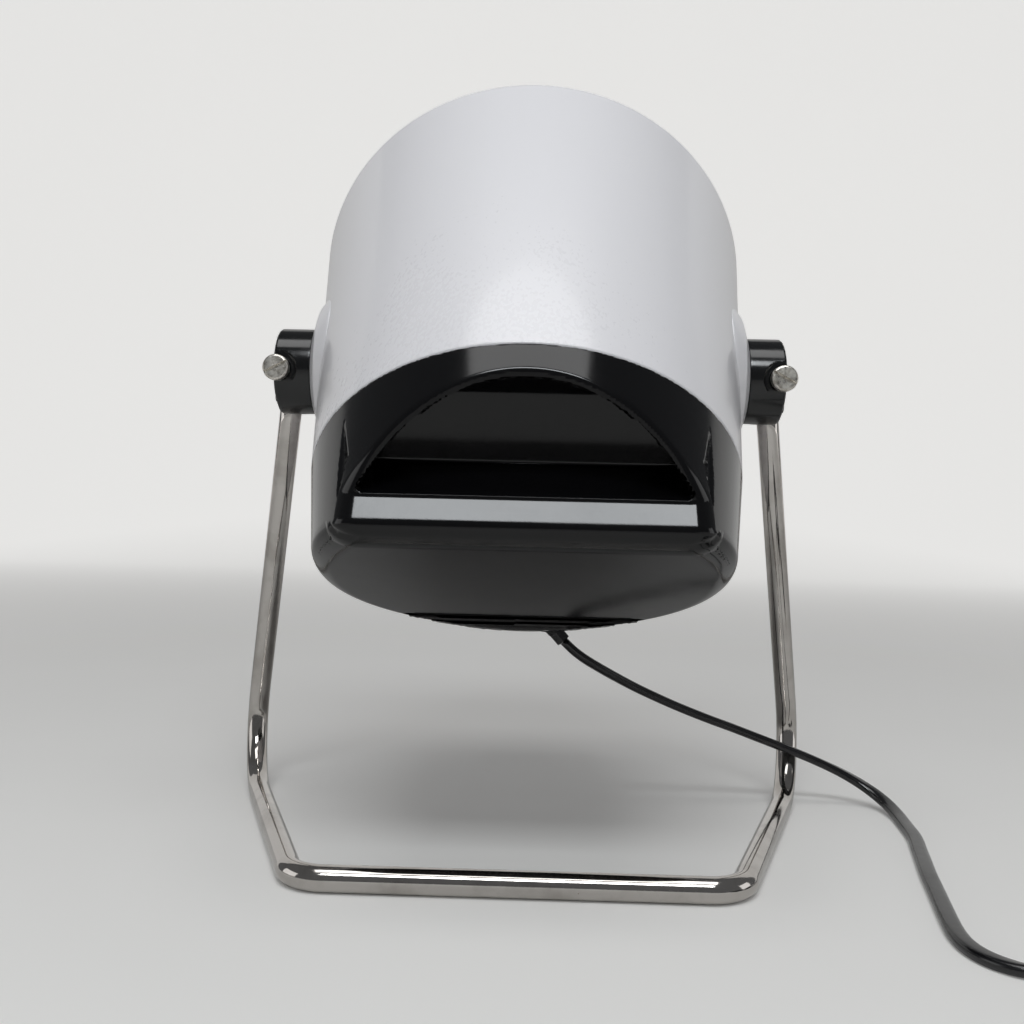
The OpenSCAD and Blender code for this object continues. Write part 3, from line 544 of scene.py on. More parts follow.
# From the coil to the plug the cord runs straight and comes down to the plug's height.
TAIL_STATIONS, TAIL_DROP, TAIL_DROP_OVER, PLUG_Z = (5.3, 12, 19, 21.5, 24, 26.5, 29, 31, 36), 19.0, 12, 6.85
TAIL_RUN = float(TAIL_STATIONS[-1])
ROUTE_STEPS, STEPS_PER_TURN = 4, 48


def eased(x):
    x = np.clip(x, 0, 1)
    return x * x * (3 - 2 * x)


route = np.array(CORD_ROUTE, float)
route_length = np.linalg.norm(np.diff(route, axis=0), axis=1).sum()
COIL_MEAN = (CORD_LENGTH - route_length - TAIL_RUN) / (2 * math.pi * COIL_TURNS)
COIL_INNER = COIL_MEAN - COIL_PITCH * COIL_TURNS / 4
COIL_OUTER = COIL_MEAN + COIL_PITCH * COIL_TURNS / 4
COIL_CENTRE = np.array([route[-1][0] + COIL_OUTER, route[-1][1]])


def coil_points():
    turns = np.arange(int(STEPS_PER_TURN * COIL_TURNS) + 1) / STEPS_PER_TURN
    radius = COIL_INNER + COIL_PITCH * np.abs(turns - COIL_TURNS / 2)
    angle = math.pi + turns * 2 * math.pi
    height = COIL_LOW + LAYER_STEP * eased((turns - COIL_TURNS / 2) * 2 + 0.5)
    return np.stack([COIL_CENTRE[0] + radius * np.cos(angle),
                     COIL_CENTRE[1] + radius * np.sin(angle), height], axis=1)


def cord_line():
    """The cord's centreline and the direction of its width at each point."""
    n = len(route)
    steps = np.vstack([route[1:] - route[:-1], route[-1:] - route[-2:-1]])
    side = unit(np.stack([steps[:, 1], -steps[:, 0], np.zeros(n)], axis=1))
    roll = (eased((np.arange(n) - ROLL_FROM) / ROLL_OVER) * math.pi / 2)[:, None]
    wide = side * np.cos(roll) + np.array([0, 0, 1.0]) * np.sin(roll)
    first, wide = smooth_path(route, ROUTE_STEPS), smooth_path(wide, ROUTE_STEPS)
    coil = coil_points()[1:]
    run = np.array(TAIL_STATIONS)
    tail = np.stack([np.full(len(run), COIL_CENTRE[0] + COIL_OUTER), COIL_CENTRE[1] + run,
                     COIL_HIGH - (COIL_HIGH - PLUG_Z) * eased((run - TAIL_DROP) / TAIL_DROP_OVER)], axis=1)
    upright = np.tile([0, 0, 1.0], (len(coil) + len(tail), 1))
    return np.vstack([first, coil, tail]), np.vstack([wide, upright])


cord_path, cord_wide = cord_line()
cord = swept(Build(), cord_path, cord_wide, oval(CORD_W, CORD_T)).piece(
    "flat_cord", "cord_sheath", None, ("cord_stretch", "cord_coil"), weighted=False)
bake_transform(cord)

# ---- Head outline ----
WALL = 2.5
SPLIT_S, HEAD_R, FLARE, TAPER = -62.9, 76.0, 0.105, 0.164
MOUTH_S, MOUTH_RISE = 54.6, math.tan(math.radians(5))
PARTING_S, PARTING_SLANT = -63.0, math.radians(9.3)
PARTING_RISE = -math.tan(PARTING_SLANT)
X_AXIS = np.array([1.0, 0, 0])
BEAM, HEAD_UP = HEAD_AXES[1], HEAD_AXES[2]


def outer_r(s):
    return np.where(s > SPLIT_S, HEAD_R + FLARE * s, HEAD_R + FLARE * SPLIT_S - TAPER * (SPLIT_S - s))


def where_plane_cuts(s0, rise, cosine):
    """s at which the wall's outer line meets the plane s = s0 + rise * t, for each angle."""
    s, passes = np.full_like(cosine, s0), 12
    for _ in range(passes):
        s = s0 + rise * cosine * outer_r(s)
    return s


# ---- Shell ----
RIM_ROUND, PARTING_ROUND, SHELL_SEGMENTS, CORNER_STEPS = 1.05, 0.9, 288, 5
SHELL_RUN = [0.004] + [k / 16 for k in range(1, 16)] + [0.996]


def shell_wall(build):
    """The drum between the parting and the mouth, with rounded rims."""
    angle = 2 * math.pi * np.arange(SHELL_SEGMENTS) / SHELL_SEGMENTS
    back = where_plane_cuts(PARTING_S, PARTING_RISE, np.cos(angle))
    front = where_plane_cuts(MOUTH_S, MOUTH_RISE, np.cos(angle))
    rows = []
    for a, s0, s1 in zip(angle, back, front):
        corners = [(s0, 0), (s1, 0), (s1, WALL), (s0, WALL)]
        loop = rounded(corners, [PARTING_ROUND, RIM_ROUND, RIM_ROUND, PARTING_ROUND], CORNER_STEPS)
        s = loop[:, 0]
        r = outer_r(s) - loop[:, 1]
        rows.append(np.stack([r * math.sin(a), s, r * math.cos(a)], axis=1))
    # The long runs outside and inside are divided at SHELL_RUN, for smooth shading.
    per_corner = CORNER_STEPS + 1
    out = []
    for row in rows:
        outside = [row[per_corner - 1] * (1 - w) + row[per_corner] * w for w in SHELL_RUN]
        inside = [row[3 * per_corner - 1] * (1 - w) + row[3 * per_corner] * w for w in SHELL_RUN]
        out.append(np.vstack([row[:per_corner], outside, row[per_corner:3 * per_corner], inside,
                              row[3 * per_corner:]]))
    return build.grid(from_head(np.array(out)), close_rows=True, close_columns=True)


BOSS_BORE, BOSS_R, BOSS_INNER, BOSS_FACE = 6.02, 30, 69.0, 77.4


def boss(build, side):
    """The raised round seat for a pivot block on one side of the shell."""
    profile = rounded(
        [(BOSS_BORE, BOSS_INNER), (BOSS_R, BOSS_INNER), (BOSS_R, 69.8), (24, 75), (17.3, BOSS_FACE),
         (BOSS_BORE, BOSS_FACE)], [0, 0.3, 0, 3.5, 1.2, 0])
    return turned(build, finer(profile, 2.0), PIVOT, X_AXIS * side, HEAD_UP, 120)


EAR_ANGLES, EAR_RING, EAR_BACK, EAR_THICK = (65, -65, 145, -145), 60.5, 4.6, 3.0
EAR_R, EAR_BORE, EAR_REACH = 7.5, 1.8, 8.0


def shell_ears(build):
    """Four ears inside the shell that take the cover's screws."""
    for degrees in EAR_ANGLES:
        a = math.radians(degrees)
        out = np.array([math.sin(a), 0, math.cos(a)])
        tangent = np.array([math.cos(a), 0, -math.sin(a)])
        s0 = PARTING_S + PARTING_RISE * EAR_RING * math.cos(a) + EAR_BACK
        ring = [out * EAR_RING + EAR_R * (math.cos(b) * -out + math.sin(b) * tangent)
                for b in np.linspace(-math.pi / 2, math.pi / 2, 13)]
        ring = [ring[0] + out * EAR_REACH] + ring + [ring[-1] + out * EAR_REACH]
        bore = [out * EAR_RING + EAR_BORE * (math.cos(b) * -out + math.sin(b) * tangent)
                for b in np.linspace(-math.pi, math.pi, len(ring))]
        rows = []
        for loop, s in ((ring, s0), (ring, s0 + EAR_THICK), (bore, s0 + EAR_THICK), (bore, s0)):
            rows.append([p + np.array([0, s, 0]) for p in loop])
        build.grid(from_head(np.array(rows)), close_rows=True, close_columns=True)
    return build


shell = Build()
shell_wall(shell)
boss(shell, 1)
boss(shell, -1)
shell_ears(shell)
shell.piece("white_shell", "white_plastic", "head", ("shell",))


# ---- Shapes settled on a distance function ----
def round_max(a, b, r, g=0.0):
    """The part common to two distances, with their outer edge rounded by r.

    g is the cosine of the angle between the two faces' normals.
    """
    u = (a + r - g * (b + r)) / (1 - g * g)
    v = (b + r - g * (a + r)) / (1 - g * g)
    bent = np.sqrt(np.maximum(u * u + v * v + 2 * g * u * v, 0)) - r
    return np.where((u > 0) & (v > 0), bent, np.maximum(a, b))


def round_min(a, b, r, g=0.0):
    """Two shapes joined, with the inner corner between them filled by r."""
    return -round_max(-a, -b, r, g)


SLOPE_STEP, NORMAL_STEP, SETTLING_PASSES, LONGEST_MOVE, LEAST_SLOPE = 0.02, 0.05, 8, 0.6, 0.05


def steepness(distance, points, step):
    out = np.empty_like(points)
    for k in range(3):
        move = np.zeros(3)
        move[k] = step
        out[:, k] = (distance(points + move) - distance(points - move)) / (2 * step)
    return out


def skinned(name, source, voxel, distance, reach, keep, finish, body, replaced):
    """A fine even mesh of a solid, whose outer skin is moved onto a distance function.

    distance takes points in row millimetres; keep(points) marks those that may move, and reach is
    how deep under the function's skin they may lie. Its own slope gives the skin its shading.
    """
    mesh = frame["nodes"][source].data.copy()
    coarse = bpy.data.objects.new(name + "_coarse", mesh)
    bpy.context.scene.collection.objects.link(coarse)
    remesh = coarse.modifiers.new("even", "REMESH")
    remesh.mode = "VOXEL"
    remesh.voxel_size = voxel * MM
    remesh.adaptivity = 0
    graph = bpy.context.evaluated_depsgraph_get()
    fine = bpy.data.meshes.new_from_object(coarse.evaluated_get(graph))
    bpy.data.objects.remove(coarse)
    fine.materials.clear()
    count = len(fine.vertices)
    points = np.empty(count * 3)
    fine.vertices.foreach_get("co", points)
    points = points.reshape(-1, 3) / MM
    chosen = (distance(points) > -reach) & keep(points)
    moved = points[chosen]
    for _ in range(SETTLING_PASSES):
        slope = steepness(distance, moved, SLOPE_STEP)
        size = np.maximum((slope ** 2).sum(1), LEAST_SLOPE)
        moved = moved - slope * np.clip(distance(moved) / size, -LONGEST_MOVE, LONGEST_MOVE)[:, None]
    points[chosen] = moved
    fine.vertices.foreach_set("co", (points * MM).ravel())
    fine.update()
    fine.shade_smooth()
    normals = np.empty(count * 3)
    fine.vertices.foreach_get("normal", normals)
    normals = normals.reshape(-1, 3)
    normals[chosen] = unit(steepness(distance, moved, NORMAL_STEP))
    fine.name = name
    fine.normals_split_custom_set_from_vertices(normals.tolist())
    return settle_piece(fine, name, finish, body, replaced)


# ---- Rear cover ----
END_S, END_SLANT = -99.4, math.radians(27.9)
GRIP_S, GRIP_T, GRIP_SLANT, GRIP_FOOT = -83.3, 66.1, math.radians(38.66), 33
LIP, LEDGE, HEEL = (-105.3, 38.6), (-114.7, 35.1), (-114.04, 27.67)
LIP_R, LEDGE_R, NOSE_R = 2.5, 4.5, 9.0
# The cover's outer edge is sharper above EASING_TOP and softer EASING_OVER below it.
EDGE_R, EDGE_MORE, EASING_TOP, EASING_OVER, PARTING_EDGE_R = 2.2, 5.3, 50, 14, 0.4
POCKET_X, RIM_WALL = 46.0, 2.2
POCKET_SIDE = [(-140, 39.2), (-105.3, 38.6), (-84, 32), (-76.5, 52), (-77.5, 90)]
POCKET_FLOOR_R, POCKET_CORNER_R, POCKET_RIM_R = 0.6, 5.0, 1.5
MOUTH_R, LIP_MORE = 0.5, 0.6
# Cosines between the pocket's and the cover's normals, at the lip and at the arch above it.
LIP_MEETING, ARCH_MEETING = 0.79, -0.7
END_OUT = np.array([-math.cos(END_SLANT), -math.sin(END_SLANT)])
GRIP_OUT = np.array([-math.cos(GRIP_SLANT), math.sin(GRIP_SLANT)])


def rearward(first, last):
    """Normal, to the rear, of a line that runs down from first to last in the side view."""
    along = unit(np.subtract(last, first))
    return np.array([along[1], -along[0]])


TOP_OUT, BACK_OUT = rearward(LIP, LEDGE), rearward(LEDGE, HEEL)


def beyond(s, t, first, out):
    return (s - first[0]) * out[0] + (t - first[1]) * out[1]


def nose_distance(s, t):
    """Side view of the cover: grip face, the ledge under the pocket and the end face."""
    end = (s - END_S) * END_OUT[0] + t * END_OUT[1]
    grip = (s - GRIP_S) * GRIP_OUT[0] + (t - GRIP_T) * GRIP_OUT[1]
    ledge = round_max(beyond(s, t, LIP, TOP_OUT), beyond(s, t, LEDGE, BACK_OUT), LEDGE_R,
                      TOP_OUT @ BACK_OUT)
    joined = round_min(np.maximum(grip, GRIP_FOOT - t), ledge, LIP_R, GRIP_OUT @ TOP_OUT)
    return round_max(joined, end, NOSE_R, BACK_OUT @ END_OUT)


def pocket_distance(x, s, t, cone):
    sides = [-beyond(s, t, a, rearward(a, b)) for a, b in zip(POCKET_SIDE, POCKET_SIDE[1:])]
    floor = np.maximum(sides[0], sides[1])
    inside = round_max(round_max(floor, sides[2], POCKET_FLOOR_R), sides[3], POCKET_CORNER_R)
    inside = round_max(inside, np.abs(x) - POCKET_X, POCKET_CORNER_R)
    return round_max(inside, cone + RIM_WALL, POCKET_RIM_R)


def cover_distance(points):
    x, s, t = to_head(points).T
    around = np.hypot(x, t)
    lean = math.cos(math.atan(TAPER))
    cone = (around - outer_r(s)) * lean
    nose, step = nose_distance(s, t), SLOPE_STEP
    nose_s = (nose_distance(s + step, t) - nose_distance(s - step, t)) / (2 * step)
    nose_t = (nose_distance(s, t + step) - nose_distance(s, t - step)) / (2 * step)
    meeting = np.clip(lean * (nose_t * t / np.maximum(around, 1) - TAPER * nose_s), -0.9, 0.9)
    mass = round_max(cone, nose, EDGE_R + EDGE_MORE * eased((EASING_TOP - t) / EASING_OVER), meeting)
    parting = (s - PARTING_S - PARTING_RISE * t) * math.cos(PARTING_SLANT)
    body = round_max(mass, parting, PARTING_EDGE_R)
    near_lip = eased((42 - t) / 3)
    meeting = LIP_MEETING * near_lip + ARCH_MEETING * eased((t - 43) / 8)
    return round_max(body, -pocket_distance(x, s, t, cone), MOUTH_R + LIP_MORE * near_lip, meeting)


def on_cover_skin(points):
    """All but what lies inside the shell, ahead of the parting."""
    x, s, t = to_head(points).T
    under_wall, behind_parting = 1.7, 1.2
    inner = np.hypot(x, t) < outer_r(s) - under_wall
    return ~(inner & (s > PARTING_S + PARTING_RISE * t - behind_parting))


COVER_VOXEL, COVER_REACH = 0.8, 1.2
skinned("black_rear_cover", "rear_cover", COVER_VOXEL, cover_distance, COVER_REACH, on_cover_skin,
        "black_gloss_plastic", "head", ("rear_cover",))

# ---- Bulb ----
BULB_NECK = [(17, -58), (18, -54), (20.5, -47), (26, -37.5)]
BULB_FLANK = [(34.5, -25), (43.5, -11), (51.5, 3), (57.5, 16), (60, 24), (60.5, 30)]
BULB_FACE = [(60.5, 30), (59.6, 35.5), (56.5, 41), (50, 46.2), (40, 49.8), (27, 52), (13.5, 53), (0, 53.2)]
GLASS = 1.0


def glass_shell(name, outline, finish, replaced):
    """A thin wall of glass turned from its outline of (radius, s)."""
    outer = smooth_path([(r, s, 0) for r, s in outline], 5)[:, :2]
    along = unit(np.gradient(outer, axis=0))
    inner = outer - np.stack([along[:, 1], -along[:, 0]], axis=1) * GLASS
    inner[:, 0] = np.maximum(inner[:, 0], 0)
    turned(Build(), np.vstack([outer, inner[::-1]]), PIVOT, BEAM, HEAD_UP, 144).piece(
        name, finish, "head", replaced)


glass_shell("silvered_bulb_bowl", BULB_NECK + BULB_FLANK, "mirror_glass", ("bulb_reflector",))
glass_shell("ruby_bulb_face", BULB_FACE, "ruby_glass", ("bulb_lens",))

# ---- Bent rod ----
ROD_R, ROD_SIDES, ROD_END_Z = 4.0, 40, 157.0
KNEE, FRONT = np.array([112.8, 62.1, 4.0]), np.array([65.8, -70.1, 4.0])
LEG_TOP = np.array([86.3, PIVOT[1], PIVOT[2]])
KNEE_BEND, FRONT_BEND, BEND_POINTS, LONGEST_RUN = 27.0, 13.0, 24, 12.0
ROD_END = KNEE + (LEG_TOP - KNEE) * (ROD_END_Z - KNEE[2]) / (LEG_TOP[2] - KNEE[2])
MIRROR = np.array([-1.0, 1, 1])


def bent_line(points, radii):
    """The rod's centreline: bends of the given radii, and long runs divided."""
    out, weights = [], np.linspace(0, 1, BEND_POINTS)
    for i, (p, r) in enumerate(zip(points, radii)):
        out += corner_arc(points[i - 1], p, points[(i + 1) % len(points)], r, weights)
    return finer(np.array(out), LONGEST_RUN, closed=False)


rod_line = bent_line([ROD_END * MIRROR, KNEE * MIRROR, FRONT * MIRROR, FRONT, KNEE, ROD_END],
                     [0, KNEE_BEND, FRONT_BEND, FRONT_BEND, KNEE_BEND, 0])
round_section = [(ROD_R * math.cos(a), ROD_R * math.sin(a))
                 for a in 2 * math.pi * np.arange(ROD_SIDES) / ROD_SIDES]


def carried_wides(path, first):
    """A direction across the path that turns as little as it can along it."""
    tangents = unit(np.gradient(path, axis=0))
    out = [unit(np.asarray(first) - tangents[0] * (tangents[0] @ first))]
    for tangent in tangents[1:]:
        out.append(unit(out[-1] - tangent * (tangent @ out[-1])))
    return np.array(out)


swept(Build(), rod_line, carried_wides(rod_line, X_AXIS), round_section).piece(
    "bent_chrome_rod", "chrome", "stand", ("stand_rod",), weighted=False)

# ---- Pivot blocks and clamp screws ----
BLOCK_X, BLOCK_R, BLOCK_END, BLOCK_CROWN = 77.8, 15.5, 91.8, 0.0042
BLOCK_EDGE_R, BLOCK_BACK_R, BLOCK_EVENING = 0.8, 0.5, 1.02
LUG_R, LUG_BELOW, LUG_ABOVE, LUG_EDGE_R, LUG_BLEND = 5.5, 4.0, 11.0, 0.6, 5.0
SCREW_X, SCREW_Z, HEAD_Y = 89.3, 162.4, PIVOT[1] - 19
SEAT_Y, SEAT_R, SEAT_EDGE_R = PIVOT[1] - 14.6, 6.4, 0.4
LEG_DIR = unit(LEG_TOP - KNEE)


def from_leg(points):
    """Distance along the leg from the rod's end, and distance from the leg's line."""
    away = points - ROD_END
    along = away @ LEG_DIR
    return along, np.linalg.norm(away - along[:, None] * LEG_DIR, axis=1)


def block_distance_right(points):
    x, y, z = points.T
    radius = np.hypot(y - PIVOT[1], z - PIVOT[2])
    crown = (x - BLOCK_END + BLOCK_CROWN * radius ** 2) / BLOCK_EVENING
    barrel = round_max(round_max(radius - BLOCK_R, crown, BLOCK_EDGE_R), BLOCK_X - x, BLOCK_BACK_R)
    along, off = from_leg(points)
    lug = round_max(round_max(off - LUG_R, -along - LUG_BELOW, LUG_EDGE_R), along - LUG_ABOVE, LUG_EDGE_R)
    seat = np.maximum(np.hypot(x - SCREW_X, z - SCREW_Z) - SEAT_R, y - SEAT_Y)
    return round_max(round_min(barrel, lug, LUG_BLEND), -seat, SEAT_EDGE_R)


def block_distance_left(points):
    return block_distance_right(points * MIRROR)


def on_block_skin(points):
    """All but the bores for the rod, the stud and the clamp screw."""
    x, y, z = points.T
    x = np.abs(x)
    stud_hole_r, stud_hole_end, screw_hole_r, above_seat = 7.2, 88, 4.2, 0.8
    in_rod = from_leg(np.stack([x, y, z], axis=1))[1] < ROD_R + 0.6
    in_stud = (np.hypot(y - PIVOT[1], z - PIVOT[2]) < stud_hole_r) & (x < stud_hole_end)
    in_screw = (np.hypot(x - SCREW_X, z - SCREW_Z) < screw_hole_r) & (y > SEAT_Y - above_seat)
    return ~(in_rod | in_stud | in_screw)


SCREW_HEAD_R, SCREW_HEAD_HIGH, SCREW_NECK_R, SCREW_R, SCREW_TIP_Y = 4.6, 3, 3.4, 1.5, PIVOT[1] + 14.4
SLOT_TURN, SLOT_DEEP, SLOT_HALF, SLOT_REACH, SHARP_FROM = -28, 1.3, 0.6, 6, math.radians(35)


def clamp_screw(side, where):
    """Cheese-head screw with a worn slot, turned about the y axis."""
    axis, origin = np.array([0, 1.0, 0]), np.array([side * SCREW_X, 0, SCREW_Z])
    under = HEAD_Y + SCREW_HEAD_HIGH
    profile = rounded(
        [(0, HEAD_Y), (SCREW_HEAD_R, HEAD_Y), (SCREW_HEAD_R, under), (SCREW_NECK_R, under),
         (SCREW_NECK_R, SEAT_Y), (SCREW_R, SEAT_Y), (SCREW_R, SCREW_TIP_Y), (0, SCREW_TIP_Y)],
        [0, 0.8, 0.3, 0.2, 0, 0, 0.4, 0], 5)
    screw = turned(Build(), finer(profile, 0.7), origin, axis, X_AXIS, 64).piece(
        "clamp_screw_" + where + "_slotted", "worn_nickel", "stand", ("clamp_screw_" + where,),
        weighted=False)
    cutter = Build()
    angle = math.radians(SLOT_TURN * side)
    across = np.array([math.cos(angle), 0, math.sin(angle)])
    up = np.array([-math.sin(angle), 0, math.cos(angle)])
    corners = []
    for y in (HEAD_Y - 1, HEAD_Y + SLOT_DEEP):
        corners.append([origin + axis * y + across * a * SLOT_REACH + up * b * SLOT_HALF
                        for a, b in ((-1, -1), (1, -1), (1, 1), (-1, 1))])
    cutter.grid(corners, close_columns=True)
    cutter.add(corners[0], [[0, 1, 2, 3]]).add(corners[1], [[3, 2, 1, 0]])
    tool = cutter.piece("slot_tool", "worn_nickel", None, weighted=False)
    cut = screw.modifiers.new("slot", "BOOLEAN")
    cut.operation, cut.object, cut.solver = "DIFFERENCE", tool, "EXACT"
    graph = bpy.context.evaluated_depsgraph_get()
    done = bpy.data.meshes.new_from_object(screw.evaluated_get(graph))
    screw.modifiers.clear()
    screw.data = done
    bpy.data.objects.remove(tool)
    done.shade_smooth()
    done.set_sharp_from_angle(angle=SHARP_FROM)


BLOCK_VOXEL, BLOCK_REACH = 0.35, 1.6
for side, where, distance in ((1, "right", block_distance_right), (-1, "left", block_distance_left)):
    skinned("black_pivot_block_" + where, "pivot_block_" + where, BLOCK_VOXEL, distance, BLOCK_REACH,
            on_block_skin, "black_block_plastic", "stand", ("pivot_block_" + where,))
    clamp_screw(side, where)

# ---- Grommet ----
WALL_POINT, LEAN = np.array([9.7, -60, -69.0]), math.radians(42)
GLAND_R, GLAND_IN, SLEEVE_OUT = 4.0, 4.5, 3.6
GLAND_DIR = unit([0, WALL_POINT[1], WALL_POINT[2]]) * math.cos(LEAN) + X_AXIS * math.sin(LEAN)
GLAND_WIDE = unit(X_AXIS - GLAND_DIR * GLAND_DIR[0])
GLAND_THIN = np.cross(GLAND_DIR, GLAND_WIDE)
# Distance along the sleeve, scale of its section, and how far the section hugs the cord.
GLAND_STATIONS = [
    (-GLAND_IN, 1, 0), (-GLAND_IN / 2, 1, 0), (0.2, 1, 0), (0.7, 0.96, 0.3), (1.2, 0.96, 0.7),
    (1.8, 1, 1), (SLEEVE_OUT - 0.6, 1, 1), (SLEEVE_OUT - 0.2, 0.98, 1), (SLEEVE_OUT, 0.94, 1),
]


def grommet():
    """A soft sleeve in the wall's bore that narrows at once to hug the flat cord."""
    bore = oval(CORD_W + 0.06, CORD_T + 0.16, 11)
    hug = oval(CORD_W + 0.4, CORD_T + 0.5, 11)
    turn = np.arctan2(bore[:, 1], bore[:, 0])
    collar = GLAND_R * np.stack([np.cos(turn), np.sin(turn)], axis=1)
    rows = []
    for along, grown, hugging in GLAND_STATIONS:
        loop = (collar * (1 - hugging) + hug * hugging) * grown
        rows.append([(u, v, along) for u, v in loop])
    rows += [[(u, v, SLEEVE_OUT) for u, v in bore], [(u, v, -GLAND_IN) for u, v in bore]]
    rows = WALL_POINT + np.array(rows) @ np.stack([GLAND_WIDE, GLAND_THIN, GLAND_DIR])
    Build().grid(from_head(rows), close_rows=True, close_columns=True).piece(
        "cord_grommet_sleeve", "black_rubber", "head", ("cord_grommet",), weighted=False)


grommet()

# ---- Coil tie, plug ----
TIE_THICK, TIE_WIDTH, TIE_SLACK, TIE_STEPS, TIE_LONGEST, TIE_CROWN = 0.5, 9.0, 0.2, 12, 0.9, -0.12


def coil_tie():
    """A flat band round one side of the coil."""
    inner_w = COIL_OUTER - COIL_INNER + CORD_T + 2 * TIE_SLACK
    inner_h = LAYER_STEP + CORD_W + TIE_SLACK
    middle = np.array([COIL_CENTRE[0], COIL_CENTRE[1] - (COIL_OUTER + COIL_INNER) / 2,
                       (COIL_LOW + COIL_HIGH) / 2])

    def loop(w, h, r):
        corners = [(w / 2, -h / 2), (w / 2, h / 2), (-w / 2, h / 2), (-w / 2, -h / 2)]
        return finer(rounded(corners, [r] * 4), TIE_LONGEST)

    outside = loop(inner_w + 2 * TIE_THICK, inner_h + 2 * TIE_THICK, 1.5 + TIE_THICK)
    inside = loop(inner_w, inner_h, 1.5)
    count = min(len(outside), len(inside))
    outside, inside = outside[:count], inside[:count]
    rows = []
    for k in range(TIE_STEPS + 1):
        x = TIE_WIDTH * (k / TIE_STEPS - 0.5)
        scale = 1 + TIE_CROWN * (2 * k / TIE_STEPS - 1) ** 4 / (inner_w / 2)
        rows.append([middle + np.array([x, p[0] * scale, p[1] * scale]) for p in outside])
    for x in (TIE_WIDTH / 2, -TIE_WIDTH / 2):
        rows.append([middle + np.array([x, p[0], p[1]]) for p in inside])
    return Build().grid(np.array(rows), close_rows=True, close_columns=True).piece(
        "coil_tie_band", "tie_plastic", "stand", ("coil_tie",), weighted=False)


tie = coil_tie()

PLUG_AT = np.array([COIL_CENTRE[0] + COIL_OUTER, COIL_CENTRE[1] + TAIL_RUN, PLUG_Z])
PLUG_FACE, PLUG_SIDES, PIN_GAP, PIN_SLEEVE_R, PIN_SLEEVE_LONG = 56.0, 64, 18.6, 1.9, 10
PLUG_STATIONS = [
    # distance along the plug, half width, half thickness, squareness
    (0.0, 3.4, 3.4, 2.0), (2.6, 3.7, 3.7, 2.0), (3.0, 4.2, 4.2, 2.0), (4.6, 4.2, 4.2, 2.0),
    (5.0, 3.8, 3.8, 2.0), (6.8, 4.0, 4.0, 2.0), (7.2, 4.5, 4.5, 2.0), (8.6, 4.5, 4.5, 2.0),
    (9.0, 4.1, 4.1, 2.0), (10.8, 4.3, 4.3, 2.0), (11.2, 4.9, 4.9, 2.0), (12.6, 4.9, 4.9, 2.0),
    (13.0, 4.4, 4.4, 2.0), (14.8, 4.6, 4.6, 2.0), (15.2, 5.2, 5.2, 2.0), (16.6, 5.2, 5.2, 2.0),
    (17.0, 4.9, 4.9, 2.1), (19.6, 5.4, 5.2, 2.2), (20.6, 6.6, 6.3, 2.6), (22.0, 7.6, 6.75, 3.0),
    (26.0, 9.1, 6.85, 3.4), (30.0, 10.5, 6.85, 3.8), (36.0, 11.6, 6.85, 4.4), (42.0, 12.8, 6.85, 5.0),
    (44.5, 13.15, 6.85, 5.4), (50.0, 13.2, 6.85, 5.6), (54.6, 13.2, 6.85, 5.6),
    (55.5, 13.0, 6.7, 5.6), (56.0, 12.4, 6.2, 5.6),
]


def plug():
    """A moulded two-pin plug: ribbed neck, flat body, and a sleeve at the root of each pin."""
    build, rows = Build(), []
    angles = 2 * math.pi * np.arange(PLUG_SIDES) / PLUG_SIDES
    c, s = np.cos(angles), np.sin(angles)
    for y, w, h, power in PLUG_STATIONS:
        x = np.sign(c) * np.abs(c) ** (2 / power) * w
        z = np.sign(s) * np.abs(s) ** (2 / power) * h
        rows.append(np.stack([x, np.full_like(x, y), z], axis=1) + PLUG_AT)
    build.grid(rows, close_columns=True).caps(rows)
    start, end = PLUG_FACE - 1, PLUG_FACE + PIN_SLEEVE_LONG
    sleeve = rounded([(0, start), (PIN_SLEEVE_R, start), (PIN_SLEEVE_R, end), (0, end)],
                     [0, 0, 0.15, 0], 3)
    for side in (-1, 1):
        turned(build, sleeve, PLUG_AT + X_AXIS * side * PIN_GAP / 2, [0, 1, 0], X_AXIS, 32)
    return build.piece("two_pin_plug", "plug_plastic", "stand", ("plug_body",))


plug_piece = plug()


# ---- Floor, backdrop and light ----
# The paper's own glow grows from the lamp to the wall: distances in metres, strengths at each.
# The camera sees one glow; mirror-like and clear surfaces see another, which starts farther off.
GLOW_FAR = 2.4
SEEN_GLOW_FROM, SEEN_GLOW_NEAR, SEEN_GLOW_FAR = 0.15, 0.16, 0.8
MIRRORED_GLOW_FROM, MIRRORED_GLOW_FAR = 0.5, 0.55


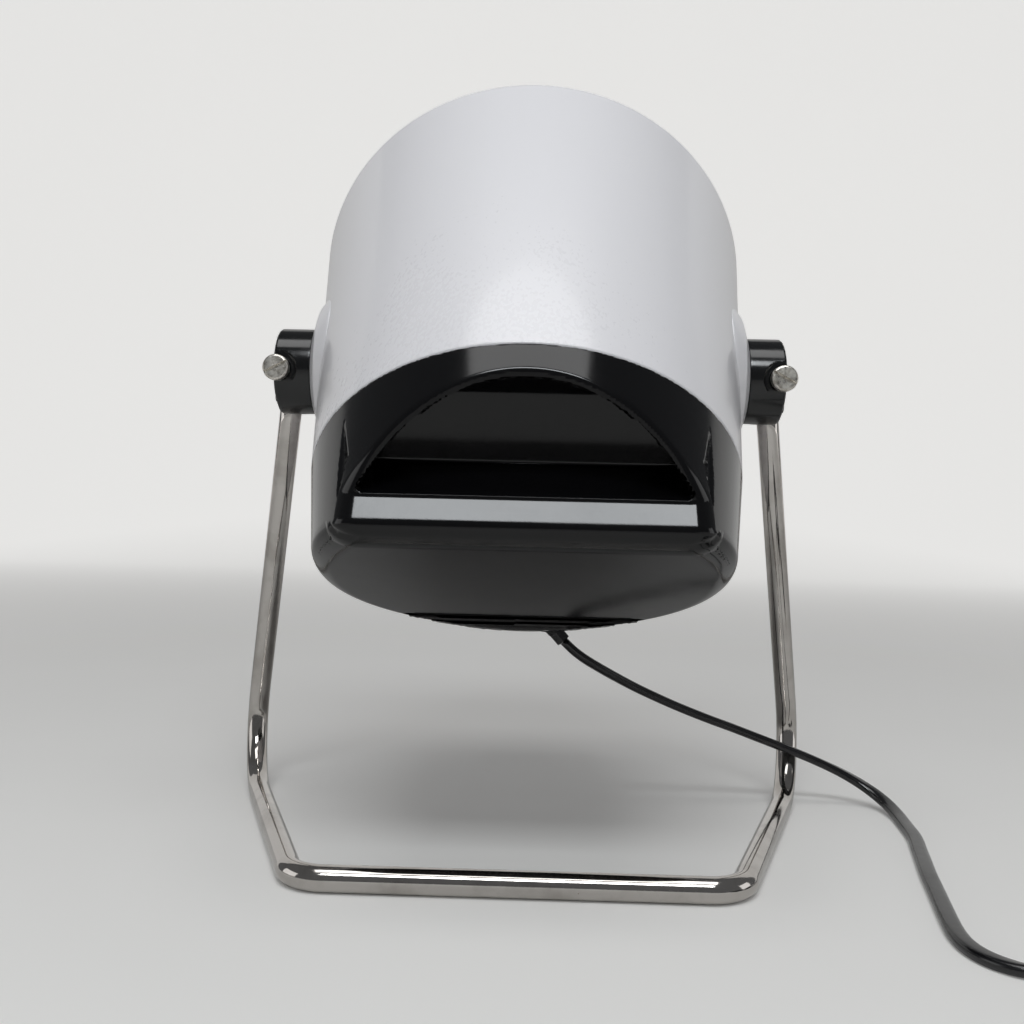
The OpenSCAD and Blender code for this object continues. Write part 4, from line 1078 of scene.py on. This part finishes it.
def backdrop():
    """A pale floor that turns up behind into a plain wall. Lengths here are in metres."""
    depth, rise, turn, half = 3.0, 3.5, 1.2, 4.0
    line = [(-depth, 0.0), (depth - turn, 0.0)]
    line += [(depth - turn + turn * math.sin(a), turn - turn * math.cos(a))
             for a in np.linspace(0, math.pi / 2, 24)[1:]]
    line.append((depth, rise))
    points = [(x, y, z) for y, z in line for x in (-half, half)]
    faces = [(2 * i, 2 * i + 1, 2 * i + 3, 2 * i + 2) for i in range(len(line) - 1)]
    mesh = bpy.data.meshes.new("backdrop")
    mesh.from_pydata(points, [], faces)
    mesh.shade_smooth()
    paper = Finish("pale_paper", (0.74, 0.73, 0.71), 0.75, Specular_IOR_Level=0.15,
                   Emission_Color=(0.86, 0.855, 0.84, 1))
    paper.cloudy((0.725, 0.715, 0.695), 2.0).rippled(40.0, 0.0002, 0.3)
    path = paper.add("ShaderNodeLightPath").outputs
    mirrored = paper.sums("MAXIMUM", path["Is Glossy Ray"], path["Is Transmission Ray"])
    away = paper.add("ShaderNodeVectorMath", operation="LENGTH")
    paper.join(paper.where(), away.inputs[0])
    far = away.outputs["Value"]
    mirrored_glow = paper.spread(far, MIRRORED_GLOW_FROM, GLOW_FAR, 0.0, MIRRORED_GLOW_FAR)
    seen_glow = paper.spread(far, SEEN_GLOW_FROM, GLOW_FAR, SEEN_GLOW_NEAR, SEEN_GLOW_FAR)
    paper.set("Emission Strength", paper.sums(
        "ADD", paper.sums("MULTIPLY", mirrored, mirrored_glow),
        paper.sums("MULTIPLY", path["Is Camera Ray"], seen_glow)))
    mesh.materials.append(paper.material)
    floor = bpy.data.objects.new("backdrop", mesh)
    bpy.context.scene.collection.objects.link(floor)


def softbox(name, at, aim, width, height, power, colour=(1, 1, 1)):
    """An area lamp at a point, turned to another; lengths in metres, power in watts."""
    data = bpy.data.lights.new(name, "AREA")
    data.shape, data.size, data.size_y = "RECTANGLE", width, height
    data.energy, data.color = power, colour
    light = bpy.data.objects.new(name, data)
    light.location = at
    light.rotation_mode = "QUATERNION"
    light.rotation_quaternion = (Vector(aim) - Vector(at)).to_track_quat("-Z", "Y")
    bpy.context.scene.collection.objects.link(light)


backdrop()
softbox("high_key_softbox", (0.02, -0.62, 0.74), (0, -0.05, 0.15), 0.5, 0.18, 3.4, (0.94, 0.975, 1.0))
softbox("top_softbox", (0, -0.25, 1.05), (0, 0, 0.15), 0.8, 0.42, 2.8)
softbox("left_softbox", (-1.1, -0.2, 0.3), (0, 0, 0.15), 0.7, 0.5, 1.0)
softbox("right_softbox", (1.1, -0.1, 0.28), (0, 0, 0.15), 0.5, 0.5, 0.7)

world = bpy.data.worlds.new("studio")
world.use_nodes = True
sky = world.node_tree.nodes["Background"].inputs
sky["Color"].default_value = (0.9, 0.92, 0.95, 1)
sky["Strength"].default_value = 0.12
bpy.context.scene.world = world
bpy.context.scene.view_settings.view_transform = "Standard"
